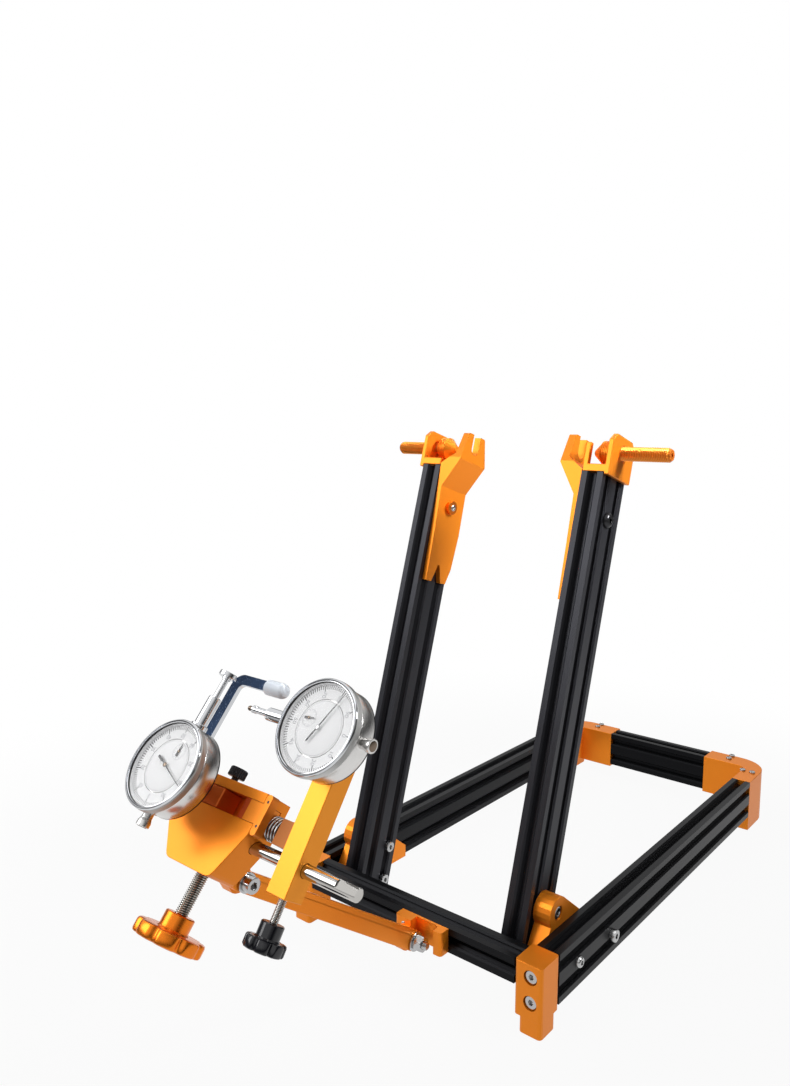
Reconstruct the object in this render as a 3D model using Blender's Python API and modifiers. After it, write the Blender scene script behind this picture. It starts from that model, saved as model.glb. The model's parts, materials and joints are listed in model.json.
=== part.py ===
"""Wheel truing stand: a slotted aluminium base and two leaning uprights that hold a
wheel by its axle, with two dial gauges on an adjustable arm. Metres, +Z up.

X runs along the axle, -Y is the side where the gauges stand, and the ground is Z 0.
"""

import math

import bmesh
import bpy
from mathutils import Matrix, Vector

MM = 0.001

# Clearance between pieces that touch or slide on each other
SEAT = 0.3 * MM

# Base frame
BASE_WIDTH = 262.6 * MM
BASE_LENGTH = 501 * MM
BASE_TOP = 56 * MM
BASE_FRONT = -161.2 * MM
BAR_SIDE = 20 * MM
BAR_TALL = 40 * MM

# Slots and core holes of the bars
SLOT_MOUTH = 9.2 * MM
SLOT_NECK = 6.2 * MM
SLOT_LIP = 1.8 * MM
SLOT_INNER = 11 * MM
SLOT_STRAIGHT = 1.4 * MM
SLOT_FLOOR = 5.6 * MM
SLOT_DEPTH = 6.1 * MM
CORE_HOLE = 4.2 * MM

# Corner blocks of the base
FRONT_BLOCK_WIDTH = 23.7 * MM
FRONT_BLOCK_DEPTH = 24.4 * MM
BLOCK_HEIGHT = 43 * MM
BLOCK_CORNER = 2.5 * MM
FOOT_INSET = 4 * MM
FOOT_ROUND = 3 * MM
REAR_BLOCK_REACH = 69.8 * MM
REAR_BLOCK_THICK = 25.4 * MM
REAR_BLOCK_ARM = 41.5 * MM
REAR_CORNER = 44 * MM
INNER_CORNER = 8 * MM
SCREW_HOLE = 5.4 * MM
COUNTERBORE = 11.5 * MM
COUNTERBORE_DEPTH = 7 * MM

# Uprights and the brackets that hold them
AXLE_HEIGHT = 422 * MM
UPRIGHT_LEAN = math.radians(16.5)
UPRIGHT_INSIDE = 75 * MM
UPRIGHT_FOOT = 21.8 * MM
AXLE_OVER_UPRIGHT = 20.4 * MM
BRACKET_RADIUS = 13 * MM
BRACKET_HOLE_LOW = 16.5 * MM
BRACKET_HOLE_SPACING = 30.6 * MM
BRACKET_BACK = 57 * MM
BRACKET_HEEL = 36 * MM

# Caps on top of the uprights
CAP_WALL = 4.5 * MM
CAP_BASE = 6.2 * MM
CAP_SKIRT = 1.8 * MM
CAP_OVER_AXLE = 13.6 * MM
CAP_CHAMFER = 6 * MM
CAP_PRONG = 4.5 * MM
CAP_PRONG_TOP = 4.5 * MM

# Axle screws with their cones
AXLE_SCREW_RADIUS = 6 * MM
AXLE_SCREW_END = 143 * MM
AXLE_SCREW_CHAMFER = 1.2 * MM
COLLAR_RADIUS = 10.5 * MM
COLLAR_INNER = 82.5 * MM
COLLAR_LENGTH = 8.5 * MM
CONE_LENGTH = 8 * MM
CONE_TIP_RADIUS = 3 * MM

# Axle supports on the inner faces of the uprights
SUPPORT_PLATE = 4.6 * MM
SUPPORT_WALL = 7 * MM
SUPPORT_OFFSET = 22 * MM
SUPPORT_TOP = 13 * MM
SUPPORT_BOTTOM = -128.4 * MM
SUPPORT_SHOULDER = -12.4 * MM
SUPPORT_BEND = -18.5 * MM
SUPPORT_GUSSET = -40 * MM
SUPPORT_TOP_WIDTH = 24.8 * MM
SUPPORT_FOOT_WIDTH = 29 * MM
SUPPORT_FOOT_RISE = 15 * MM
SUPPORT_HIP = 19.5 * MM
SUPPORT_WAIST_DROP = 80 * MM
SUPPORT_BACK_WIDTH = 22 * MM
SUPPORT_FRONT_WIDTH = 16.3 * MM
AXLE_SLOT = 11 * MM
NOTCH_WIDTH = 13.5 * MM
NOTCH_HEIGHT = 20 * MM
SUPPORT_SCREW_DROP = 57 * MM
SUPPORT_SCREW_BACK = 0 * MM
SUPPORT_SCREW_RADIUS = 2.5 * MM
BUTTON_HEAD_RADIUS = 6.5 * MM
BUTTON_HEAD_HEIGHT = 3.5 * MM
SUPPORT_BOSS_RADIUS = 6.5 * MM
SUPPORT_BOSS_HEIGHT = 3.5 * MM

# Pivot block on the front bar and the swinging arm
PIVOT_BLOCK_LEFT = -0.5 * MM
PIVOT_BLOCK_WIDTH = 46.5 * MM
PIVOT_BLOCK_DEPTH = 9.6 * MM
PIVOT_BLOCK_HEIGHT = 19.4 * MM
PIVOT_BLOCK_CORNER = 2.5 * MM
PIVOT_WEB = 2 * MM
PIVOT_SLOT_RIGHT = 38.5 * MM
PIVOT_POCKET_ROUND = 4 * MM
PIVOT_DROP = 14 * MM
PIVOT_EAR = 7.4 * MM
ARM_CENTRE = 19 * MM
ARM_THICK = 6 * MM
ARM_EAR_WIDTH = 19 * MM
ARM_WIDTH = 15.6 * MM
ARM_TIP_WIDTH = 13 * MM
ARM_LENGTH = 201.7 * MM
ARM_RISE = math.radians(36)
ARM_TIP_REACH = 9 * MM
PIVOT_BOLT_RADIUS = 3 * MM
BOLT_TAIL = 2 * MM
NUT_RADIUS = 6.2 * MM
NUT_HEIGHT = 7.5 * MM
NUT_STUB = 3.5 * MM
CAP_HEAD_HEIGHT = 6 * MM
WASHER_RADIUS = 7.5 * MM
TILT_WASHER_RADIUS = 6.5 * MM
WASHER_THICK = 1.5 * MM

# Gauge head, in its own frame on the tilt bolt
HEAD_LEAN = math.radians(40)
HEAD_LEFT = -13.3 * MM
HEAD_RIGHT = 53.3 * MM
HEAD_TOP = 47.8 * MM
HEAD_BOTTOM = -6 * MM
HEAD_FRONT = -49.7 * MM
HEAD_THICK = 22 * MM
HEAD_FOOT_LEFT = 0.5 * MM
HEAD_FOOT_RIGHT = 41 * MM
HEAD_CORNER = 6 * MM
HEAD_LEFT_SHOULDER = 13 * MM
HEAD_RIGHT_SHOULDER = 23 * MM
HEAD_EAR = 9.4 * MM
HEAD_EAR_RADIUS = 9 * MM
CHANNEL_LOW = 29.4 * MM
CHANNEL_HIGH = 42.1 * MM
CHANNEL_DEPTH = 17 * MM

# Carriage in the channel, the end stop and the thumb screw above them
CARRIAGE_LEFT = -20.2 * MM
CARRIAGE_RIGHT = 18.5 * MM
STOP_LEFT = 37.2 * MM
STOP_STEP = 5.8 * MM
STOP_STEP_DEPTH = 1.5 * MM
END_PLATE_THICK = 4.6 * MM
END_PLATE_DEPTH = 6.4 * MM
END_PLATE_LOW = 23.6 * MM
END_PLATE_CORNER = 2 * MM
THUMB_SCREW_X = 8 * MM
THUMB_STUD_RADIUS = 2.2 * MM
THUMB_STUD_LENGTH = 3 * MM
THUMB_HEAD_RADIUS = 5.8 * MM
THUMB_HEAD_HEIGHT = 6.2 * MM

# Side lever with its soft tip
LEVER_WIDTH = 6.3 * MM
LEVER_DEPTH = 5 * MM
LEVER_TOP = 112.4 * MM
LEVER_END = 4 * MM
LEVER_OUTER_BEND = 9 * MM
LEVER_INNER_BEND = 4 * MM
LEVER_Y = -45.7 * MM
TIP_RADIUS = 5 * MM
TIP_LENGTH = 17.5 * MM
TIP_ROUND = 4 * MM

# Rod, its clamp screw and the orange knob
ROD_Y = -36.7 * MM
ROD_Z = 18.8 * MM
ROD_RADIUS = 4 * MM
ROD_LEFT = 6 * MM
ROD_RIGHT = 134 * MM
ROD_FLAT_LENGTH = 14 * MM
ROD_FLAT_DEPTH = 1.2 * MM
CLAMP_X = 22.5 * MM
CLAMP_RADIUS = 4.2 * MM
CLAMP_REACH = 24 * MM
BIG_BOSS_RADIUS = 9.1 * MM
BIG_BOSS_HEIGHT = 9.2 * MM
BIG_KNOB_RADIUS = 21.3 * MM
BIG_KNOB_HEIGHT = 8.2 * MM
BIG_KNOB_LOBES = 8
BIG_LOBE_DEPTH = 2.6 * MM

# Post on the rod, its spring seat and black knob
POST_LEAN = math.radians(34)
POST_LEFT = 78.7 * MM
POST_WIDTH = 15.1 * MM
POST_DEPTH = 15 * MM
POST_BOTTOM = -17.3 * MM
POST_TOP = 80 * MM
POST_ROUND = 4 * MM
STUD_RADIUS = 2.5 * MM
STUD_REACH = 13.2 * MM
SMALL_BOSS_RADIUS = 6.9 * MM
SMALL_BOSS_HEIGHT = 8.4 * MM
SMALL_KNOB_RADIUS = 12 * MM
SMALL_KNOB_HEIGHT = 6.8 * MM
SMALL_KNOB_LOBES = 7
SMALL_LOBE_DEPTH = 1.8 * MM
SPRING_Y = -34.7 * MM
SPRING_Z = 32.4 * MM
SPRING_LENGTH = 11.7 * MM
SPRING_RADIUS = 6.9 * MM
SPRING_WIRE = 0.8 * MM
SPRING_TURNS = 4
SEAT_BLOCK_LOW = 24.4 * MM
SEAT_BLOCK_HIGH = 39.4 * MM
SEAT_BLOCK_DEPTH = 14.5 * MM
SEAT_SWEEP = 5 * MM
SPRING_PIN_RADIUS = 4.4 * MM
SPRING_PIN_LENGTH = 10 * MM

# Dial gauges: distances run out of the face (FACE) or along the stem (STEM)
GAUGE_RADIUS = 27 * MM
GAUGE_BACK = -9 * MM
GAUGE_BODY_FACE = 4.2 * MM
GAUGE_NECK_RADIUS = 24.2 * MM
GAUGE_NECK_FACE = 5.8 * MM
GAUGE_EDGE = 1.5 * MM
BEZEL_RADIUS = 28.2 * MM
BEZEL_INNER = 25.9 * MM
BEZEL_LIP = 25 * MM
BEZEL_FACE = 10.9 * MM
BEZEL_LIP_THICK = 0.9 * MM
BEZEL_EDGE = 0.8 * MM
SCALE_INNER = 16.6 * MM
SCALE_RADIUS = 25.2 * MM
PLATE_RADIUS = 16.3 * MM
PLATE_THICK = 0.7 * MM
CRYSTAL_RADIUS = 25.6 * MM
CRYSTAL_THICK = 0.7 * MM
NEEDLE_LENGTH = 23 * MM
NEEDLE_TAIL = 10 * MM
NEEDLE_WIDTH = 1.1 * MM
NEEDLE_THICK = 0.35 * MM
NEEDLE_HUB = 1.7 * MM
SMALL_NEEDLE_LENGTH = 5 * MM
SMALL_NEEDLE_TAIL = 1.8 * MM
SMALL_NEEDLE_HUB = 0.9 * MM
SUB_DIAL_X = 3.9 * MM
SUB_DIAL_Z = 9.8 * MM
SLEEVE_RADIUS = 4 * MM
SLEEVE_END = 48 * MM
SPINDLE_RADIUS = 2 * MM
SPINDLE_INNER = 14 * MM
SPINDLE_TRAVEL = 6 * MM
TIP_START = 62 * MM
ANVIL_RADIUS = 5.8 * MM
ANVIL_THICK = 3 * MM
BALL_RADIUS = 1.6 * MM
BALL_HOLDER_RADIUS = 2.3 * MM
GAUGE_CAP_RADIUS = 4.1 * MM
GAUGE_CAP_LENGTH = 8.5 * MM
GAUGE_LUG_RADIUS = 8 * MM
RADIAL_GAUGE_X = -1.5 * MM
RADIAL_GAUGE_Y = -74.7 * MM
RADIAL_GAUGE_Z = 38 * MM
LATERAL_GAUGE_X = 92 * MM
LATERAL_GAUGE_Y = -26.6 * MM
LATERAL_GAUGE_Z = 71.6 * MM

# Rotations of pieces that are drawn flat or turned about Z
QUARTER = math.pi / 2
DRAWN_FROM_SIDE = (QUARTER, 0, QUARTER)
DRAWN_FROM_FRONT = (QUARTER, 0, 0)
TURNED_TO_X = (0, QUARTER, 0)
TURNED_TO_FACE = (QUARTER, 0, 0)

# Colours as (red, green, blue), metallic, roughness
ORANGE = ((0.90, 0.36, 0.05), 0.6, 0.35)
BLACK_METAL = ((0.03, 0.03, 0.035), 0.6, 0.35)
BLACK_PLASTIC = ((0.02, 0.02, 0.02), 0.0, 0.5)
STEEL = ((0.62, 0.62, 0.62), 1.0, 0.25)
CHROME = ((0.8, 0.8, 0.82), 1.0, 0.08)
WHITE_FACE = ((0.9, 0.9, 0.88), 0.0, 0.5)
CLEAR = ((0.85, 0.9, 0.95), 0.0, 0.05)
TIP_WHITE = ((0.8, 0.86, 0.92), 0.0, 0.4)

FACE_STEPS = 40
CIRCLE_STEPS = 28
SMALL_STEPS = 18
MERGE = 0.00001

# Where the main lines of the stand lie
base_half = BASE_WIDTH / 2
base_back = BASE_FRONT + BASE_LENGTH
side_bar_middle = BASE_TOP - BAR_TALL / 2
upright_outside = UPRIGHT_INSIDE + BAR_SIDE
upright_top = -AXLE_OVER_UPRIGHT
upright_bottom = (UPRIGHT_FOOT - AXLE_HEIGHT) / math.cos(UPRIGHT_LEAN)
upright_length = upright_top - upright_bottom
pivot_y = BASE_FRONT - PIVOT_WEB - 2 * SEAT - ARM_EAR_WIDTH / 2
pivot_z = BASE_TOP - PIVOT_DROP
arm_left = ARM_CENTRE - ARM_THICK / 2
arm_right = ARM_CENTRE + ARM_THICK / 2
head_back = HEAD_FRONT + HEAD_THICK
channel_floor = HEAD_FRONT + CHANNEL_DEPTH
post_right = POST_LEFT + POST_WIDTH
post_middle = POST_LEFT + POST_WIDTH / 2
seat_block_left = HEAD_RIGHT + 2 * SEAT + SPRING_LENGTH
seat_block_front = SPRING_Y - SEAT_BLOCK_DEPTH / 2


def clear_scene():
    for old in list(bpy.data.objects):
        bpy.data.objects.remove(old, do_unlink=True)


def new_collection(name):
    collection = bpy.data.collections.new(name)
    bpy.context.scene.collection.children.link(collection)
    return collection


clear_scene()
stand = new_collection("wheel_truing_stand")
cutters = new_collection("cutters")


def material_for(name, finish):
    colour, metallic, roughness = finish
    material = bpy.data.materials.new(name)
    material.use_nodes = True
    shader = material.node_tree.nodes["Principled BSDF"]
    shader.inputs["Base Color"].default_value = (*colour, 1)
    shader.inputs["Metallic"].default_value = metallic
    shader.inputs["Roughness"].default_value = roughness
    return material


def frame_at(name, parent, location, rotation=(0, 0, 0)):
    """An empty that carries the pieces of one moving or leaning group."""
    empty = bpy.data.objects.new(name, None)
    stand.objects.link(empty)
    empty.parent = parent
    empty.location = location
    empty.rotation_euler = rotation
    empty.empty_display_size = 0.02
    return empty


def new_piece(name, mesh, finish, parent, location=(0, 0, 0), rotation=(0, 0, 0)):
    piece = bpy.data.objects.new(name, mesh)
    stand.objects.link(piece)
    mesh.materials.append(material_for(name, finish))
    piece.parent = parent
    piece.location = location
    piece.rotation_euler = rotation
    mesh.shade_smooth()
    mesh.set_sharp_from_angle(angle=math.radians(35))
    return piece


def new_cutter(name, mesh, parent, location=(0, 0, 0), rotation=(0, 0, 0)):
    cutter = bpy.data.objects.new(name, mesh)
    cutters.objects.link(cutter)
    cutter.parent = parent
    cutter.location = location
    cutter.rotation_euler = rotation
    cutter.hide_render = True
    cutter.display_type = "WIRE"
    return cutter


def boolean(piece, other, operation):
    modifier = piece.modifiers.new(other.name, "BOOLEAN")
    modifier.operation = operation
    modifier.solver = "EXACT"
    modifier.object = other


def bevel(piece, width, segments=2, angle=40):
    modifier = piece.modifiers.new("edges", "BEVEL")
    modifier.width = width
    modifier.segments = segments
    modifier.limit_method = "ANGLE"
    modifier.angle_limit = math.radians(angle)


def arc(centre, radius, start, end, steps):
    """Points on a circle from one angle to another, both in degrees."""
    points = []
    for step in range(steps + 1):
        angle = math.radians(start + (end - start) * step / steps)
        points.append((centre[0] + radius * math.cos(angle), centre[1] + radius * math.sin(angle)))
    return points


def circle(centre, radius, steps=SMALL_STEPS):
    return arc(centre, radius, 0, 360, steps)[:-1]


def rounded(corners, steps=3):
    """An outline whose corners are (x, y) or, where they are round, (x, y, radius)."""
    points = []
    count = len(corners)
    for index, corner in enumerate(corners):
        here = Vector(corner[:2])
        if len(corner) == 2:
            points.append(tuple(here))
            continue
        before = Vector(corners[index - 1][:2]) - here
        after = Vector(corners[(index + 1) % count][:2]) - here
        half_angle = before.angle(after) / 2
        reach = min(corner[2] / math.tan(half_angle), 0.49 * before.length, 0.49 * after.length)
        radius = reach * math.tan(half_angle)
        middle = here + (before.normalized() + after.normalized()).normalized() * (
            radius / math.sin(half_angle)
        )
        start = here + before.normalized() * reach - middle
        end = here + after.normalized() * reach - middle
        turn = start.angle_signed(end)
        for step in range(steps + 1):
            spoke = start.copy()
            spoke.rotate(Matrix.Rotation(-turn * step / steps, 2))
            points.append(tuple(middle + spoke))
    return points


def outline_mesh(name, loops, depth):
    """A flat outline with any holes, made solid to the given depth about its plane."""
    curve = bpy.data.curves.new(name, "CURVE")
    curve.dimensions = "2D"
    curve.fill_mode = "BOTH"
    curve.extrude = depth / 2
    for loop in loops:
        spline = curve.splines.new("POLY")
        spline.points.add(len(loop) - 1)
        for point, (x, y) in zip(spline.points, loop):
            point.co = (x, y, 0, 1)
        spline.use_cyclic_u = True
    return mesh_from_curve(name, curve)


def mesh_from_curve(name, curve):
    holder = bpy.data.objects.new(name, curve)
    stand.objects.link(holder)
    graph = bpy.context.evaluated_depsgraph_get()
    mesh = bpy.data.meshes.new_from_object(holder.evaluated_get(graph))
    bpy.data.objects.remove(holder, do_unlink=True)
    bpy.data.curves.remove(curve)
    shape = bmesh.new()
    shape.from_mesh(mesh)
    bmesh.ops.remove_doubles(shape, verts=shape.verts, dist=MERGE)
    bmesh.ops.recalc_face_normals(shape, faces=shape.faces)
    shape.to_mesh(mesh)
    shape.free()
    mesh.name = name
    return mesh


def box_mesh(name, low, high):
    """A box between two corners."""
    mesh = bpy.data.meshes.new(name)
    shape = bmesh.new()
    bmesh.ops.create_cube(shape, size=1)
    low = Vector(low)
    high = Vector(high)
    bmesh.ops.scale(shape, vec=high - low, verts=shape.verts)
    bmesh.ops.translate(shape, vec=(low + high) / 2, verts=shape.verts)
    shape.to_mesh(mesh)
    shape.free()
    return mesh


def rod_mesh(name, radius, start, end, steps=SMALL_STEPS):
    """A plain round bar along Z from start to end."""
    mesh = bpy.data.meshes.new(name)
    shape = bmesh.new()
    bmesh.ops.create_cone(
        shape, cap_ends=True, segments=steps, radius1=radius, radius2=radius, depth=end - start
    )
    bmesh.ops.translate(shape, vec=(0, 0, (start + end) / 2), verts=shape.verts)
    shape.to_mesh(mesh)
    shape.free()
    return mesh


def profile_mesh(name, profile, closed):
    """A profile of (radius, height) points in the XZ plane, from top to bottom."""
    mesh = bpy.data.meshes.new(name)
    edges = [(index, index + 1) for index in range(len(profile) - 1)]
    if closed:
        edges.append((len(profile) - 1, 0))
    mesh.from_pydata([(radius, 0, height) for radius, height in profile], edges, [])
    return mesh


def turned_piece(name, profile, finish, parent, location, rotation, steps, closed=False):
    piece = new_piece(name, profile_mesh(name, profile, closed), finish, parent, location, rotation)
    add_screw(piece, steps)
    return piece


def add_screw(piece, steps):
    screw = piece.modifiers.new("turn", "SCREW")
    screw.steps = steps
    screw.render_steps = steps
    screw.use_merge_vertices = True
    screw.merge_threshold = MERGE
    screw.use_smooth_shade = True


def slot_outline(centre):
    """One slot of a bar as (along the side, depth below the side)."""
    half = [
        (SLOT_MOUTH / 2, 0),
        (SLOT_NECK / 2, (SLOT_MOUTH - SLOT_NECK) / 2),
        (SLOT_NECK / 2, SLOT_LIP),
        (SLOT_INNER / 2, SLOT_LIP),
        (SLOT_INNER / 2, SLOT_LIP + SLOT_STRAIGHT),
        (SLOT_FLOOR / 2, SLOT_DEPTH),
    ]
    return [(centre - along, down) for along, down in half] + [
        (centre + along, down) for along, down in reversed(half)
    ]


def slots_on(side):
    """Slot centres along one side: one for each module of the bar's width."""
    count = round(side / BAR_SIDE)
    return [(index - (count - 1) / 2) * BAR_SIDE for index in range(count)]


def bar_loops(wide, tall):
    """The section of a slotted bar and its core holes."""
    sides = [
        (wide, lambda along, down: (along, -tall / 2 + down)),
        (tall, lambda along, down: (wide / 2 - down, along)),
        (wide, lambda along, down: (-along, tall / 2 - down)),
        (tall, lambda along, down: (-wide / 2 + down, -along)),
    ]
    section = []
    for length, to_section in sides:
        section.append(to_section(-length / 2, 0))
        for centre in slots_on(length):
            section.extend(to_section(along, down) for along, down in slot_outline(centre))
    holes = []
    for across in slots_on(wide):
        for up in slots_on(tall):
            holes.append(circle((across, up), CORE_HOLE / 2, 12))
    return [section] + holes


def mirrored(outline, side):
    return [(side * point[0],) + tuple(point[1:]) for point in outline]


def base_bars(frame):
    """The four slotted bars of the base, between the corner blocks."""
    cross_length = BASE_WIDTH - 2 * FRONT_BLOCK_WIDTH - 2 * SEAT
    new_piece(
        "front_bar",
        outline_mesh("front_bar", bar_loops(BAR_SIDE, BAR_SIDE), cross_length),
        BLACK_METAL,
        frame,
        (0, BASE_FRONT + BAR_SIDE / 2, BASE_TOP - BAR_SIDE / 2),
        DRAWN_FROM_SIDE,
    )
    rear_length = BASE_WIDTH - 2 * REAR_BLOCK_REACH - 2 * SEAT
    rear_front = base_back - REAR_BLOCK_THICK
    new_piece(
        "rear_bar",
        outline_mesh("rear_bar", bar_loops(BAR_SIDE, BAR_TALL), rear_length),
        BLACK_METAL,
        frame,
        (0, rear_front + BAR_SIDE / 2, side_bar_middle),
        DRAWN_FROM_SIDE,
    )
    start = BASE_FRONT + FRONT_BLOCK_DEPTH + SEAT
    end = rear_front - REAR_BLOCK_ARM - SEAT
    for name, side in (("left_side_bar", -1), ("right_side_bar", 1)):
        new_piece(
            name,
            outline_mesh(name, bar_loops(BAR_SIDE, BAR_TALL), end - start),
            BLACK_METAL,
            frame,
            (side * (base_half - BAR_SIDE / 2), (start + end) / 2, side_bar_middle),
            DRAWN_FROM_FRONT,
        )


def block_screw_holes(block, frame, side, front_face, depth):
    """Two counterbored holes in line with the core holes of the side bar."""
    x = side * (base_half - BAR_SIDE / 2)
    for index, up in enumerate(slots_on(BAR_TALL)):
        z = side_bar_middle + up
        sink = rod_mesh("sink", COUNTERBORE / 2, -COUNTERBORE_DEPTH, 2 * MM)
        drill = rod_mesh("drill", SCREW_HOLE / 2, -depth - 2 * MM, 2 * MM, 12)
        for kind, mesh in (("sink", sink), ("drill", drill)):
            name = f"{block.name}_{kind}_{index}"
            cutter = new_cutter(name, mesh, frame, (x, front_face, z), TURNED_TO_FACE)
            boolean(block, cutter, "DIFFERENCE")


def foot_under(block, frame, side, outline):
    foot = outline_mesh(f"{block.name}_foot", [rounded(outline)], BASE_TOP - BLOCK_HEIGHT + 2 * MM)
    height = (BASE_TOP - BLOCK_HEIGHT + 2 * MM) / 2
    boolean(block, new_cutter(f"{block.name}_foot", foot, frame, (0, 0, height)), "UNION")


def front_blocks(frame):
    for name, side in (("front_left_block", -1), ("front_right_block", 1)):
        outer = base_half
        inner = outer - FRONT_BLOCK_WIDTH
        back = BASE_FRONT + FRONT_BLOCK_DEPTH
        outline = mirrored(
            [
                (inner, BASE_FRONT, BLOCK_CORNER),
                (outer, BASE_FRONT, BLOCK_CORNER),
                (outer, back, BLOCK_CORNER),
                (inner, back, BLOCK_CORNER),
            ],
            side,
        )
        mesh = outline_mesh(name, [rounded(outline)], BLOCK_HEIGHT)
        block = new_piece(name, mesh, ORANGE, frame, (0, 0, BASE_TOP - BLOCK_HEIGHT / 2))
        foot = mirrored(
            [
                (inner + FOOT_INSET, BASE_FRONT + SEAT, FOOT_ROUND),
                (outer - SEAT, BASE_FRONT + SEAT, FOOT_ROUND),
                (outer - SEAT, back - FOOT_INSET, FOOT_ROUND),
                (inner + FOOT_INSET, back - FOOT_INSET, FOOT_ROUND),
            ],
            side,
        )
        foot_under(block, frame, side, foot)
        bevel(block, 0.8 * MM, 1)
        block_screw_holes(block, frame, side, BASE_FRONT, FRONT_BLOCK_DEPTH)


def rear_blocks(frame):
    """L-shaped blocks with a round outer corner; only the part in line with the side bar has a foot."""
    front = base_back - REAR_BLOCK_THICK
    for name, side in (("rear_left_block", -1), ("rear_right_block", 1)):
        outer = base_half
        inner = outer - REAR_BLOCK_REACH
        outline = mirrored(
            [
                (inner, front),
                (outer - BAR_SIDE, front, INNER_CORNER),
                (outer - BAR_SIDE, front - REAR_BLOCK_ARM),
                (outer, front - REAR_BLOCK_ARM),
                (outer, base_back, REAR_CORNER),
                (inner, base_back),
            ],
            side,
        )
        mesh = outline_mesh(name, [rounded(outline, 8)], BASE_TOP)
        block = new_piece(name, mesh, ORANGE, frame, (0, 0, BASE_TOP / 2))
        foot_inner = side * (outer - BAR_SIDE)
        reach_end = side * (inner - 5 * MM)
        low = (min(foot_inner, reach_end), front - REAR_BLOCK_ARM - 5 * MM, -5 * MM)
        high = (max(foot_inner, reach_end), base_back + 5 * MM, BASE_TOP - BLOCK_HEIGHT)
        boolean(block, new_cutter(f"{name}_under", box_mesh(f"{name}_under", low, high), frame), "DIFFERENCE")
        bevel(block, 0.8 * MM, 1)


def upright(name, side, frame):
    """A slotted bar that leans back; frame is on the axle, with Z along the bar."""
    mesh = outline_mesh(name, bar_loops(BAR_SIDE, BAR_TALL), upright_length)
    x = side * (UPRIGHT_INSIDE + BAR_SIDE / 2)
    centre = (x, 0, (upright_top + upright_bottom) / 2)
    post = new_piece(name, mesh, BLACK_METAL, frame, centre, (0, 0, 0))
    hole = rod_mesh("hole", SUPPORT_SCREW_RADIUS + SEAT, -BAR_SIDE, BAR_SIDE)
    place = (x, SUPPORT_SCREW_BACK, -SUPPORT_SCREW_DROP)
    boolean(post, new_cutter(f"{name}_hole", hole, frame, place, TURNED_TO_X), "DIFFERENCE")
    return post


def bracket_centre(distance):
    """A point on the upright's centre line, as (y, z), from its distance above the end."""
    along = upright_bottom + distance
    return (along * math.sin(UPRIGHT_LEAN), AXLE_HEIGHT + along * math.cos(UPRIGHT_LEAN))


def upright_bracket(name, side, frame):
    """A two-lobed bracket between an upright and a side bar."""
    low = bracket_centre(BRACKET_HOLE_LOW)
    high = bracket_centre(BRACKET_HOLE_LOW + BRACKET_HOLE_SPACING)
    back = high[0] + BRACKET_BACK
    floor = low[1] - BRACKET_RADIUS
    tail = [(back, floor), (back, BRACKET_HEEL)]
    outline = arc(high, BRACKET_RADIUS, 50, 215, 10) + arc(low, BRACKET_RADIUS, 150, 270, 8) + tail
    holes = [circle(high, SCREW_HOLE / 2, 16), circle(low, SCREW_HOLE / 2, 16)]
    thick = base_half - BAR_SIDE - upright_outside - 2 * SEAT
    mesh = outline_mesh(name, [outline] + holes, thick)
    x = side * (upright_outside + SEAT + thick / 2)
    bracket = new_piece(name, mesh, ORANGE, frame, (x, 0, 0), DRAWN_FROM_SIDE)
    bevel(bracket, 0.8 * MM, 1)
    sink = rod_mesh("sink", COUNTERBORE / 2, thick / 2 - COUNTERBORE_DEPTH, thick / 2 + 2 * MM)
    turn = (0, side * QUARTER, 0)
    cutter = new_cutter(f"{name}_sink", sink, frame, (x, high[0], high[1]), turn)
    boolean(bracket, cutter, "DIFFERENCE")


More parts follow.
